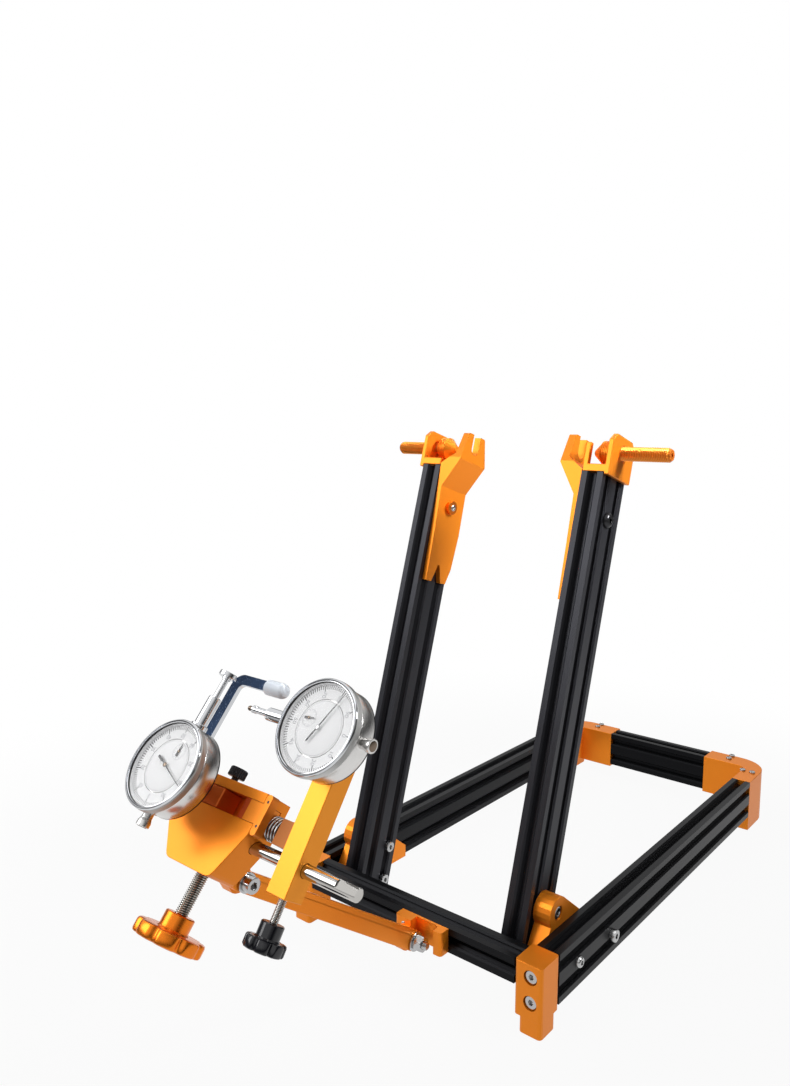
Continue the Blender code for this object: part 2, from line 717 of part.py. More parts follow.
def axle_cap(name, side, frame):
    """A cap with a threaded outer wall and one inner prong; left and right are the same part."""
    inner = UPRIGHT_INSIDE
    outer = upright_outside + SEAT + CAP_WALL
    seat = upright_top + SEAT
    section = mirrored(
        [
            (inner, seat),
            (upright_outside + SEAT, seat),
            (upright_outside + SEAT, upright_top - CAP_SKIRT),
            (outer, upright_top - CAP_SKIRT),
            (outer, CAP_OVER_AXLE),
            (outer - CAP_WALL, CAP_OVER_AXLE),
            (outer - CAP_WALL, seat + CAP_BASE),
            (inner, seat + CAP_BASE),
        ],
        side,
    )
    mesh = outline_mesh(name, [section], BAR_TALL)
    cap = new_piece(name, mesh, ORANGE, frame, (0, 0, 0), DRAWN_FROM_FRONT)
    half = BAR_TALL / 2
    low = upright_top - CAP_SKIRT - 1 * MM
    face = [
        (-half - 1 * MM, low),
        (half + 1 * MM, low),
        (half + 1 * MM, CAP_OVER_AXLE - CAP_CHAMFER),
        (half, CAP_OVER_AXLE - CAP_CHAMFER),
        (half - CAP_CHAMFER, CAP_OVER_AXLE),
        (half - CAP_CHAMFER, CAP_OVER_AXLE + 1 * MM),
        (CAP_CHAMFER - half, CAP_OVER_AXLE + 1 * MM),
        (CAP_CHAMFER - half, CAP_OVER_AXLE),
        (-half, CAP_OVER_AXLE - CAP_CHAMFER),
        (-half - 1 * MM, CAP_OVER_AXLE - CAP_CHAMFER),
    ]
    middle = side * (inner + outer) / 2
    trim = outline_mesh(f"{name}_face", [face], outer - inner + 4 * MM)
    cutter = new_cutter(f"{name}_face", trim, frame, (middle, 0, 0), DRAWN_FROM_SIDE)
    boolean(cap, cutter, "INTERSECT")
    across = sorted((side * inner, side * (inner + CAP_PRONG)))
    along = sorted((-side * half, -side * (half - CAP_PRONG)))
    root = seat + CAP_BASE / 2
    prong = box_mesh(f"{name}_prong", (across[0], along[0], root), (across[1], along[1], CAP_PRONG_TOP))
    boolean(cap, new_cutter(f"{name}_prong", prong, frame), "UNION")
    bore = rod_mesh(f"{name}_bore", AXLE_SCREW_RADIUS + SEAT, -CAP_WALL, CAP_WALL, CIRCLE_STEPS)
    place = (side * (outer - CAP_WALL / 2), 0, 0)
    boolean(cap, new_cutter(f"{name}_bore", bore, frame, place, TURNED_TO_X), "DIFFERENCE")
    bevel(cap, 0.6 * MM, 1)


def axle_screw(name, side, frame):
    """A long screw whose inner end carries a collar and the cone that grips the axle."""
    collar_outer = COLLAR_INNER + COLLAR_LENGTH
    profile = [
        (0, AXLE_SCREW_END),
        (AXLE_SCREW_RADIUS - AXLE_SCREW_CHAMFER, AXLE_SCREW_END),
        (AXLE_SCREW_RADIUS, AXLE_SCREW_END - AXLE_SCREW_CHAMFER),
        (AXLE_SCREW_RADIUS, collar_outer),
        (COLLAR_RADIUS, collar_outer),
        (COLLAR_RADIUS, COLLAR_INNER),
        (CONE_TIP_RADIUS, COLLAR_INNER - CONE_LENGTH),
        (0, COLLAR_INNER - CONE_LENGTH),
    ]
    turn = (0, side * QUARTER, 0)
    turned_piece(name, profile, ORANGE, frame, (0, 0, 0), turn, CIRCLE_STEPS)


def axle_support(name, side, frame):
    """A plate on the upright's inner face, cranked inward to a slotted wall for the axle."""
    face = UPRIGHT_INSIDE - SEAT
    wall = UPRIGHT_INSIDE - SUPPORT_OFFSET
    section = mirrored(
        [
            (face, SUPPORT_BOTTOM),
            (face, SUPPORT_BEND),
            (wall + SUPPORT_WALL, SUPPORT_SHOULDER + 4 * MM),
            (wall + SUPPORT_WALL, SUPPORT_TOP),
            (wall, SUPPORT_TOP),
            (wall, SUPPORT_SHOULDER - 1 * MM),
            (face - SUPPORT_PLATE, SUPPORT_GUSSET),
            (face - SUPPORT_PLATE, SUPPORT_BOTTOM),
        ],
        side,
    )
    half = BAR_TALL / 2
    mesh = outline_mesh(name, [section], 2 * SUPPORT_BACK_WIDTH + 4 * MM)
    support = new_piece(name, mesh, ORANGE, frame, (0, 0, 0), DRAWN_FROM_FRONT)
    foot = SUPPORT_FOOT_WIDTH / 2
    top = SUPPORT_TOP_WIDTH / 2
    low = SUPPORT_BOTTOM
    face_outline = [
        (-foot, low),
        (-NOTCH_WIDTH / 2, low),
        (0, low + NOTCH_HEIGHT, 1.5 * MM),
        (NOTCH_WIDTH / 2, low),
        (foot, low),
        (SUPPORT_HIP, low + SUPPORT_FOOT_RISE),
        (SUPPORT_BACK_WIDTH, -SUPPORT_WAIST_DROP),
        (half, SUPPORT_SHOULDER),
        (top, SUPPORT_TOP, 2 * MM),
    ]
    slot = [(AXLE_SLOT / 2, SUPPORT_TOP)] + arc((0, 0), AXLE_SLOT / 2, 0, -180, 10)
    slot.append((-AXLE_SLOT / 2, SUPPORT_TOP))
    face_outline += slot
    face_outline += [
        (-top, SUPPORT_TOP, 2 * MM),
        (-half, SUPPORT_SHOULDER),
        (-SUPPORT_FRONT_WIDTH, -SUPPORT_WAIST_DROP),
    ]
    trim = outline_mesh(f"{name}_face", [rounded(face_outline)], SUPPORT_OFFSET + 10 * MM)
    middle = side * (face - SUPPORT_OFFSET / 2)
    cutter = new_cutter(f"{name}_face", trim, frame, (middle, 0, 0), DRAWN_FROM_SIDE)
    boolean(support, cutter, "INTERSECT")
    boss = rod_mesh(f"{name}_boss", SUPPORT_BOSS_RADIUS, -SUPPORT_PLATE / 2, SUPPORT_PLATE / 2 + SUPPORT_BOSS_HEIGHT)
    place = (side * (face - SUPPORT_PLATE / 2), SUPPORT_SCREW_BACK, -SUPPORT_SCREW_DROP)
    turn = (0, -side * QUARTER, 0)
    boolean(support, new_cutter(f"{name}_boss", boss, frame, place, turn), "UNION")
    hole = rod_mesh(f"{name}_hole", SUPPORT_SCREW_RADIUS + SEAT, -12 * MM, 12 * MM)
    boolean(support, new_cutter(f"{name}_hole", hole, frame, place, turn), "DIFFERENCE")
    bevel(support, 0.5 * MM, 1)


def support_screw(name, side, frame):
    """The button-head screw through the upright that holds the axle support."""
    head = upright_outside + SEAT
    end = UPRIGHT_INSIDE - SEAT - SUPPORT_PLATE - SUPPORT_BOSS_HEIGHT - 0.5 * MM
    dome = []
    for step in range(5):
        angle = QUARTER * (1 - step / 4)
        radius = BUTTON_HEAD_RADIUS * math.cos(angle)
        dome.append((radius, head + BUTTON_HEAD_HEIGHT * math.sin(angle)))
    profile = [(0, dome[0][1])] + dome[1:]
    profile += [(SUPPORT_SCREW_RADIUS, head), (SUPPORT_SCREW_RADIUS, end), (0, end)]
    place = (0, SUPPORT_SCREW_BACK, -SUPPORT_SCREW_DROP)
    turned_piece(name, profile, BLACK_METAL, frame, place, (0, side * QUARTER, 0), SMALL_STEPS)


def pivot_block(frame):
    """The block on the front bar: an ear for the arm's bolt and a pocket for the arm and nut."""
    name = "pivot_block"
    right = PIVOT_BLOCK_LEFT + PIVOT_BLOCK_WIDTH
    back = BASE_FRONT - SEAT
    front = back - PIVOT_BLOCK_DEPTH
    slot_left = arm_left - SEAT
    plan = rounded(
        [
            (PIVOT_BLOCK_LEFT, back),
            (PIVOT_BLOCK_LEFT, front, PIVOT_BLOCK_CORNER),
            (slot_left, front),
            (slot_left, back - PIVOT_WEB),
            (PIVOT_SLOT_RIGHT, back - PIVOT_WEB, PIVOT_POCKET_ROUND),
            (PIVOT_SLOT_RIGHT, front),
            (right, front, PIVOT_BLOCK_CORNER),
            (right, back),
        ]
    )
    mesh = outline_mesh(name, [plan], PIVOT_BLOCK_HEIGHT)
    block = new_piece(name, mesh, ORANGE, frame, (0, 0, BASE_TOP - PIVOT_BLOCK_HEIGHT / 2))
    ear = arc((pivot_y, pivot_z), ARM_EAR_WIDTH / 2, 90, 270, 12)
    ear += [(back - 1 * MM, pivot_z - ARM_EAR_WIDTH / 2), (back - 1 * MM, pivot_z + ARM_EAR_WIDTH / 2)]
    ear_mesh = outline_mesh("pivot_ear", [ear], PIVOT_EAR)
    place = (slot_left - PIVOT_EAR / 2, 0, 0)
    boolean(block, new_cutter("pivot_ear", ear_mesh, frame, place, DRAWN_FROM_SIDE), "UNION")
    hole = rod_mesh("pivot_hole", PIVOT_BOLT_RADIUS + SEAT, -2 * PIVOT_EAR, 2 * PIVOT_EAR)
    place = (slot_left - PIVOT_EAR / 2, pivot_y, pivot_z)
    boolean(block, new_cutter("pivot_hole", hole, frame, place, TURNED_TO_X), "DIFFERENCE")
    return block


def hinge_bolt(name, frame, left, right, washer_radius, head_height, stub):
    """A bolt along X with a washer and a head on its right end, which it may pass through."""
    washer = right + SEAT
    head = washer + WASHER_THICK
    top = head + head_height
    end = left - BOLT_TAIL
    profile = [(0, top)]
    if stub:
        profile = [(0, top + stub), (PIVOT_BOLT_RADIUS, top + stub), (PIVOT_BOLT_RADIUS, top)]
    profile += [
        (NUT_RADIUS - 1 * MM, top),
        (NUT_RADIUS, top - 1 * MM),
        (NUT_RADIUS, head),
        (washer_radius, head),
        (washer_radius, washer),
        (PIVOT_BOLT_RADIUS, washer),
        (PIVOT_BOLT_RADIUS, end),
        (0, end),
    ]
    turned_piece(name, profile, STEEL, frame, (0, 0, 0), TURNED_TO_X, SMALL_STEPS)


def swing_arm(frame):
    """The flat arm, drawn from the side: round at its pivot, square past the tilt bolt."""
    half = ARM_WIDTH / 2
    tip = ARM_TIP_WIDTH / 2
    reach = ARM_LENGTH + ARM_TIP_REACH
    outline = arc((0, 0), half, -90, 90, 10)
    end = rounded([(0, half), (-reach, tip, 4 * MM), (-reach, -tip, 4 * MM), (0, -half)])
    outline += end[1:-1]
    holes = [circle((0, 0), PIVOT_BOLT_RADIUS + SEAT), circle((-ARM_LENGTH, 0), PIVOT_BOLT_RADIUS + SEAT)]
    mesh = outline_mesh("swing_arm", [outline] + holes, ARM_THICK)
    arm = new_piece("swing_arm", mesh, ORANGE, frame, (ARM_CENTRE, 0, 0), DRAWN_FROM_SIDE)
    bevel(arm, 0.6 * MM, 1)


def gauge_head(frame):
    """The shield-shaped head: a channel across its front, a bore for the rod, an ear behind."""
    outline = rounded(
        [
            (HEAD_LEFT, HEAD_TOP),
            (HEAD_LEFT, HEAD_LEFT_SHOULDER),
            (HEAD_FOOT_LEFT, HEAD_BOTTOM, HEAD_CORNER),
            (HEAD_FOOT_RIGHT, HEAD_BOTTOM, HEAD_CORNER),
            (HEAD_RIGHT, HEAD_RIGHT_SHOULDER, HEAD_CORNER),
            (HEAD_RIGHT, HEAD_TOP),
        ]
    )
    mesh = outline_mesh("gauge_head", [outline], HEAD_THICK)
    middle = (0, (HEAD_FRONT + head_back) / 2, 0)
    head = new_piece("gauge_head", mesh, ORANGE, frame, middle, DRAWN_FROM_FRONT)
    bevel(head, 0.8 * MM, 1)
    ear_right = arm_left - SEAT
    ear = arc((0, 0), HEAD_EAR_RADIUS, -90, 90, 10)
    ear += [(head_back - 4 * MM, HEAD_EAR_RADIUS), (head_back - 4 * MM, HEAD_BOTTOM + 1 * MM)]
    ear += [(-HEAD_EAR_RADIUS, HEAD_BOTTOM + 1 * MM)]
    ear_mesh = outline_mesh("head_ear", [ear], HEAD_EAR)
    place = (ear_right - HEAD_EAR / 2, 0, 0)
    boolean(head, new_cutter("head_ear", ear_mesh, frame, place, DRAWN_FROM_SIDE), "UNION")
    channel = box_mesh(
        "channel",
        (HEAD_LEFT - 2 * MM, HEAD_FRONT - 2 * MM, CHANNEL_LOW),
        (HEAD_RIGHT + 2 * MM, channel_floor, CHANNEL_HIGH),
    )
    boolean(head, new_cutter("channel", channel, frame), "DIFFERENCE")
    bores = {
        "rod_bore": (ROD_RADIUS, ROD_LEFT - SEAT, HEAD_RIGHT + 5 * MM, (0, ROD_Y, ROD_Z), TURNED_TO_X),
        "clamp_bore": (CLAMP_RADIUS, HEAD_BOTTOM - 2 * MM, ROD_Z - 2 * MM, (CLAMP_X, ROD_Y, 0), (0, 0, 0)),
        "tilt_bore": (PIVOT_BOLT_RADIUS, ear_right - 20 * MM, ear_right + 5 * MM, (0, 0, 0), TURNED_TO_X),
        "thumb_bore": (THUMB_STUD_RADIUS, CHANNEL_HIGH - 2 * MM, HEAD_TOP + 2 * MM, (THUMB_SCREW_X, ROD_Y, 0), (0, 0, 0)),
    }
    for name, (radius, start, end, place, turn) in bores.items():
        bore = rod_mesh(name, radius + SEAT, start, end)
        boolean(head, new_cutter(name, bore, frame, place, turn), "DIFFERENCE")


def channel_parts(head_frame, carriage_frame):
    """The sliding carriage and, at the channel's right end, the fixed stop with its plate."""
    low = CHANNEL_LOW + SEAT
    high = CHANNEL_HIGH - SEAT
    back = channel_floor - SEAT
    mesh = box_mesh("carriage", (CARRIAGE_LEFT, HEAD_FRONT, low), (CARRIAGE_RIGHT, back, high))
    carriage = new_piece("carriage", mesh, ORANGE, carriage_frame)
    bevel(carriage, 0.6 * MM, 1)
    plate_left = HEAD_RIGHT + SEAT
    plate_right = plate_left + END_PLATE_THICK
    plan = [
        (STOP_LEFT, HEAD_FRONT + STOP_STEP_DEPTH),
        (STOP_LEFT + STOP_STEP, HEAD_FRONT + STOP_STEP_DEPTH),
        (STOP_LEFT + STOP_STEP, HEAD_FRONT),
        (plate_right - 1 * MM, HEAD_FRONT),
        (plate_right - 1 * MM, HEAD_FRONT + END_PLATE_DEPTH - 1 * MM),
        (plate_left + 1 * MM, HEAD_FRONT + END_PLATE_DEPTH - 1 * MM),
        (plate_left - 2 * SEAT, back),
        (STOP_LEFT, back),
    ]
    stop_mesh = outline_mesh("end_stop", [plan], high - low)
    place = (0, 0, (high + low) / 2)
    stop = new_piece("end_stop", stop_mesh, ORANGE, head_frame, place)
    face = rounded(
        [
            (plate_left, END_PLATE_LOW, END_PLATE_CORNER),
            (plate_right, END_PLATE_LOW, END_PLATE_CORNER),
            (plate_right, HEAD_TOP, END_PLATE_CORNER),
            (plate_left, HEAD_TOP, END_PLATE_CORNER),
        ]
    )
    plate = outline_mesh("end_plate", [face], END_PLATE_DEPTH)
    place = (0, HEAD_FRONT + END_PLATE_DEPTH / 2, 0)
    boolean(stop, new_cutter("end_plate", plate, head_frame, place, DRAWN_FROM_FRONT), "UNION")


def thumb_screw(frame):
    """A knurled thumb screw through the top of the channel, on its own turning axis."""
    foot = CHANNEL_HIGH
    neck = HEAD_TOP + THUMB_STUD_LENGTH
    top = neck + THUMB_HEAD_HEIGHT
    profile = [
        (0, top),
        (THUMB_HEAD_RADIUS - 1 * MM, top),
        (THUMB_HEAD_RADIUS, top - 1 * MM),
        (THUMB_HEAD_RADIUS, neck + 1 * MM),
        (THUMB_HEAD_RADIUS - 1 * MM, neck),
        (THUMB_STUD_RADIUS, neck),
        (THUMB_STUD_RADIUS, foot),
        (0, foot),
    ]
    turned_piece("thumb_screw", profile, BLACK_PLASTIC, frame, (0, 0, 0), (0, 0, 0), SMALL_STEPS)


def side_lever(frame):
    """The bent lever beside the radial gauge, with the soft tip that meets the rim."""
    right = CARRIAGE_LEFT - SEAT
    left = right - LEVER_WIDTH
    inner_top = LEVER_TOP - LEVER_WIDTH
    outline = rounded(
        [
            (left, CHANNEL_LOW + SEAT, 1 * MM),
            (right, CHANNEL_LOW + SEAT, 1 * MM),
            (right, inner_top, LEVER_INNER_BEND),
            (LEVER_END, inner_top),
            (LEVER_END, LEVER_TOP),
            (left, LEVER_TOP, LEVER_OUTER_BEND),
        ],
        6,
    )
    mesh = outline_mesh("side_lever", [outline], LEVER_DEPTH)
    lever = new_piece("side_lever", mesh, CHROME, frame, (0, LEVER_Y, 0), DRAWN_FROM_FRONT)
    bevel(lever, 0.8 * MM)
    start = LEVER_END + SEAT
    end = start + TIP_LENGTH
    profile = [(0, end)]
    for step in range(1, 5):
        angle = QUARTER * (1 - step / 4)
        radius = TIP_RADIUS - TIP_ROUND + TIP_ROUND * math.cos(angle)
        profile.append((radius, end - TIP_ROUND + TIP_ROUND * math.sin(angle)))
    profile += [(TIP_RADIUS, start + 1 * MM), (TIP_RADIUS - 1 * MM, start), (0, start)]
    place = (0, LEVER_Y, LEVER_TOP - LEVER_WIDTH / 2)
    turned_piece("lever_tip", profile, TIP_WHITE, frame, place, TURNED_TO_X, SMALL_STEPS)


def guide_rod(frame):
    """The bright rod that carries the post, with a flat milled at its free end."""
    profile = [
        (0, ROD_RIGHT),
        (ROD_RADIUS - 1 * MM, ROD_RIGHT),
        (ROD_RADIUS, ROD_RIGHT - 1 * MM),
        (ROD_RADIUS, ROD_LEFT),
        (0, ROD_LEFT),
    ]
    place = (0, ROD_Y, ROD_Z)
    rod = turned_piece("guide_rod", profile, CHROME, frame, place, TURNED_TO_X, CIRCLE_STEPS)
    flat = box_mesh(
        "rod_flat",
        (ROD_RIGHT - ROD_FLAT_LENGTH, -2 * ROD_RADIUS, ROD_RADIUS - ROD_FLAT_DEPTH),
        (ROD_RIGHT + 1 * MM, 2 * ROD_RADIUS, 2 * ROD_RADIUS),
    )
    boolean(rod, new_cutter("rod_flat", flat, frame, place), "DIFFERENCE")


def lobed_outline(radius, lobes, depth):
    points = []
    steps = lobes * 6
    for step in range(steps):
        angle = 2 * math.pi * step / steps
        reach = radius - depth * ((1 - math.cos(lobes * angle)) / 2) ** 2
        points.append((reach * math.cos(angle), reach * math.sin(angle)))
    return points


def lobed_knob(name, finish, frame, top, boss, head, stud_radius):
    """A knob below its screw: a round boss above a lobed grip, bored for the screw."""
    boss_radius, boss_height = boss
    radius, height, lobes, depth = head
    grip = outline_mesh(name, [lobed_outline(radius, lobes, depth)], height)
    grip_middle = top - boss_height - height / 2
    knob = new_piece(name, grip, finish, frame, (0, 0, grip_middle))
    bevel(knob, 1 * MM, 1, 60)
    collar = rod_mesh(f"{name}_boss", boss_radius, top - boss_height - 2 * MM, top, CIRCLE_STEPS)
    boolean(knob, new_cutter(f"{name}_boss", collar, frame), "UNION")
    bore = rod_mesh(f"{name}_bore", stud_radius + SEAT, top - boss_height, top + 2 * MM)
    boolean(knob, new_cutter(f"{name}_bore", bore, frame), "DIFFERENCE")


def clamp_screws(screw_frame, knob_frame, stud_frame, small_knob_frame):
    """Each clamp screw runs up to the rod; its knob turns about the same axis."""
    screw_top = ROD_Z - ROD_RADIUS - SEAT
    boss_top = HEAD_BOTTOM - CLAMP_REACH
    end = boss_top - BIG_BOSS_HEIGHT + SEAT
    profile = [
        (0, screw_top),
        (CLAMP_RADIUS - 1 * MM, screw_top),
        (CLAMP_RADIUS, screw_top - 1 * MM),
        (CLAMP_RADIUS, end),
        (0, end),
    ]
    turned_piece("clamp_screw", profile, STEEL, screw_frame, (0, 0, 0), (0, 0, 0), SMALL_STEPS)
    boss = (BIG_BOSS_RADIUS, BIG_BOSS_HEIGHT)
    grip = (BIG_KNOB_RADIUS, BIG_KNOB_HEIGHT, BIG_KNOB_LOBES, BIG_LOBE_DEPTH)
    lobed_knob("clamp_knob", ORANGE, knob_frame, boss_top, boss, grip, CLAMP_RADIUS)

    stud_top = -ROD_RADIUS - SEAT
    boss_top = POST_BOTTOM - STUD_REACH
    end = boss_top - SMALL_BOSS_HEIGHT + SEAT
    profile = [(0, stud_top), (STUD_RADIUS, stud_top), (STUD_RADIUS, end), (0, end)]
    turned_piece("post_stud", profile, STEEL, stud_frame, (0, 0, 0), (0, 0, 0), SMALL_STEPS)
    boss = (SMALL_BOSS_RADIUS, SMALL_BOSS_HEIGHT)
    grip = (SMALL_KNOB_RADIUS, SMALL_KNOB_HEIGHT, SMALL_KNOB_LOBES, SMALL_LOBE_DEPTH)
    lobed_knob("post_knob", BLACK_PLASTIC, small_knob_frame, boss_top, boss, grip, STUD_RADIUS)


def gauge_post(frame):
    """The leaning post: bored across for the rod and from below for the stud."""
    outline = rounded(
        [
            (POST_LEFT, POST_BOTTOM),
            (post_right, POST_BOTTOM),
            (post_right, POST_TOP, POST_ROUND),
            (POST_LEFT, POST_TOP, POST_ROUND),
        ]
    )
    mesh = outline_mesh("gauge_post", [outline], POST_DEPTH)
    post = new_piece("gauge_post", mesh, ORANGE, frame, (0, 0, 0), DRAWN_FROM_FRONT)
    bevel(post, 0.6 * MM, 1)
    cross = rod_mesh("post_bore", ROD_RADIUS + SEAT, POST_LEFT - 2 * MM, post_right + 2 * MM)
    boolean(post, new_cutter("post_bore", cross, frame, (0, 0, 0), TURNED_TO_X), "DIFFERENCE")
    drill = rod_mesh("stud_bore", STUD_RADIUS + SEAT, POST_BOTTOM - 2 * MM, 0)
    boolean(post, new_cutter("stud_bore", drill, frame, (post_middle, 0, 0)), "DIFFERENCE")


def spring_parts(head_frame, seat_frame):
    """The coil spring on the head's end and the seat beside the post, with its pin."""
    right = POST_LEFT - SEAT
    sweep = arc((right - SEAT_SWEEP, SEAT_BLOCK_HIGH + SEAT_SWEEP), SEAT_SWEEP, 0, -90, 5)
    outline = [(seat_block_left, SEAT_BLOCK_LOW), (right, SEAT_BLOCK_LOW)] + sweep
    outline.append((seat_block_left, SEAT_BLOCK_HIGH))
    mesh = outline_mesh("spring_seat", [outline], SEAT_BLOCK_DEPTH)
    place = (0, seat_block_front + SEAT_BLOCK_DEPTH / 2, 0)
    seat = new_piece("spring_seat", mesh, ORANGE, seat_frame, place, DRAWN_FROM_FRONT)
    start = seat_block_left - SPRING_PIN_LENGTH
    pin = rod_mesh("spring_pin", SPRING_PIN_RADIUS, start, seat_block_left + 2 * MM)
    place = (0, SPRING_Y, SPRING_Z)
    boolean(seat, new_cutter("spring_pin", pin, seat_frame, place, TURNED_TO_X), "UNION")

    curve = bpy.data.curves.new("coil_spring", "CURVE")
    curve.dimensions = "3D"
    curve.bevel_depth = SPRING_WIRE
    curve.bevel_resolution = 1
    curve.use_fill_caps = True
    points_per_turn = 10
    count = SPRING_TURNS * points_per_turn + 1
    climb = SPRING_LENGTH - 2 * SPRING_WIRE
    spline = curve.splines.new("POLY")
    spline.points.add(count - 1)
    for index, point in enumerate(spline.points):
        angle = 2 * math.pi * index / points_per_turn
        along = climb * index / (count - 1)
        point.co = (along, SPRING_RADIUS * math.cos(angle), SPRING_RADIUS * math.sin(angle), 1)
    gap = climb / SPRING_TURNS - 2 * SPRING_WIRE
    print(f"coil_spring: least gap between turns {gap / MM:.2f} mm")
    mesh = mesh_from_curve("coil_spring", curve)
    place = (HEAD_RIGHT + SEAT + SPRING_WIRE, SPRING_Y, SPRING_Z)
    new_piece("coil_spring", mesh, STEEL, head_frame, place)


def gauge_case(name, frame, lug_length):
    """The case with its neck for the bezel, the lug behind and the sleeve for the spindle."""
    lug_end = GAUGE_BACK - lug_length
    profile = [
        (0, GAUGE_NECK_FACE),
        (GAUGE_NECK_RADIUS, GAUGE_NECK_FACE),
        (GAUGE_NECK_RADIUS, GAUGE_BODY_FACE),
        (GAUGE_RADIUS, GAUGE_BODY_FACE),
        (GAUGE_RADIUS, GAUGE_BACK + GAUGE_EDGE),
        (GAUGE_RADIUS - GAUGE_EDGE, GAUGE_BACK),
        (GAUGE_LUG_RADIUS, GAUGE_BACK),
        (GAUGE_LUG_RADIUS, lug_end),
        (0, lug_end),
    ]
    case = turned_piece(f"{name}_case", profile, STEEL, frame, (0, 0, 0), TURNED_TO_FACE, FACE_STEPS)
    sleeve = rod_mesh(f"{name}_sleeve", SLEEVE_RADIUS, GAUGE_RADIUS - 4 * MM, SLEEVE_END)
    boolean(case, new_cutter(f"{name}_sleeve", sleeve, frame), "UNION")
    start = SPINDLE_INNER - SPINDLE_TRAVEL - SEAT
    bore = rod_mesh(f"{name}_bore", SPINDLE_RADIUS + SEAT, start, SLEEVE_END + 2 * MM)
    boolean(case, new_cutter(f"{name}_bore", bore, frame), "DIFFERENCE")


def gauge_front(name, frame, bezel_frame):
    """The turning bezel with its crystal and scale ring, and the fixed dial plate."""
    back = GAUGE_BODY_FACE + SEAT
    ring = [
        (BEZEL_LIP, BEZEL_FACE),
        (BEZEL_RADIUS - BEZEL_EDGE, BEZEL_FACE),
        (BEZEL_RADIUS, BEZEL_FACE - BEZEL_EDGE),
        (BEZEL_RADIUS, back + BEZEL_EDGE),
        (BEZEL_RADIUS - BEZEL_EDGE, back),
        (BEZEL_INNER, back),
        (BEZEL_INNER, BEZEL_FACE - BEZEL_LIP_THICK),
        (BEZEL_LIP, BEZEL_FACE - BEZEL_LIP_THICK),
    ]
    turned_piece(f"{name}_bezel", ring, STEEL, bezel_frame, (0, 0, 0), TURNED_TO_FACE, FACE_STEPS, True)
    glass_top = BEZEL_FACE - BEZEL_LIP_THICK - SEAT
    glass = [
        (0, glass_top),
        (CRYSTAL_RADIUS, glass_top),
        (CRYSTAL_RADIUS, glass_top - CRYSTAL_THICK),
        (0, glass_top - CRYSTAL_THICK),
    ]
    turned_piece(f"{name}_crystal", glass, CLEAR, bezel_frame, (0, 0, 0), TURNED_TO_FACE, FACE_STEPS)
    plate_back = GAUGE_NECK_FACE + SEAT
    plate_top = plate_back + PLATE_THICK
    scale = [
        (SCALE_INNER, plate_top),
        (SCALE_RADIUS, plate_top),
        (SCALE_RADIUS, plate_back),
        (SCALE_INNER, plate_back),
    ]
    turned_piece(f"{name}_scale", scale, WHITE_FACE, bezel_frame, (0, 0, 0), TURNED_TO_FACE, FACE_STEPS, True)
    disc = [(0, plate_top), (PLATE_RADIUS, plate_top), (PLATE_RADIUS, plate_back), (0, plate_back)]
    turned_piece(f"{name}_dial", disc, WHITE_FACE, frame, (0, 0, 0), TURNED_TO_FACE, FACE_STEPS)


def pointer(name, frame, level, length, tail, width, hub):
    """A thin pointer on its hub, lying level above the dial and aimed along the frame's Z."""
    outline = [(-width / 2, -tail), (width / 2, -tail), (width / 6, length), (-width / 6, length)]
    mesh = outline_mesh(name, [outline], NEEDLE_THICK)
    place = (0, -level, 0)
    needle = new_piece(name, mesh, BLACK_METAL, frame, place, DRAWN_FROM_FRONT)
    start = level - NEEDLE_THICK
    boss = rod_mesh(f"{name}_hub", hub, start, level + NEEDLE_THICK, 12)
    boolean(needle, new_cutter(f"{name}_hub", boss, frame, (0, 0, 0), TURNED_TO_FACE), "UNION")


def gauge_spindle(name, frame, flat_tip):
    """The spindle that slides in the sleeve, with a flat anvil or a small ball at its end."""
    if flat_tip:
        end = TIP_START + ANVIL_THICK
        profile = [(0, end), (ANVIL_RADIUS, end), (ANVIL_RADIUS, TIP_START)]
    else:
        holder = TIP_START + 1.5 * MM
        ball = holder + BALL_RADIUS
        profile = [(0, ball + BALL_RADIUS)]
        profile += [
            (BALL_RADIUS * math.sin(QUARTER * step / 4), ball + BALL_RADIUS * math.cos(QUARTER * step / 4))
            for step in range(1, 5)
        ]
        profile += [(BALL_RADIUS, holder), (BALL_HOLDER_RADIUS, TIP_START), (BALL_HOLDER_RADIUS, TIP_START - 3 * MM)]
    shoulder = profile[-1][1]
    profile += [(SPINDLE_RADIUS, shoulder), (SPINDLE_RADIUS, SPINDLE_INNER), (0, SPINDLE_INNER)]
    turned_piece(f"{name}_spindle", profile, STEEL, frame, (0, 0, 0), (0, 0, 0), SMALL_STEPS)


def gauge_cap(name, frame):
    """The little cap opposite the stem."""
    start = -GAUGE_RADIUS - SEAT
    end = start - GAUGE_CAP_LENGTH
    profile = [
        (0, start),
        (GAUGE_CAP_RADIUS - 0.9 * MM, start),
        (GAUGE_CAP_RADIUS - 0.9 * MM, start - 3 * MM),
        (GAUGE_CAP_RADIUS, start - 3 * MM),
        (GAUGE_CAP_RADIUS, end + 0.6 * MM),
        (GAUGE_CAP_RADIUS - 0.6 * MM, end),
        (0, end),
    ]
    turned_piece(f"{name}_cap", profile, STEEL, frame, (0, 0, 0), (0, 0, 0), SMALL_STEPS)


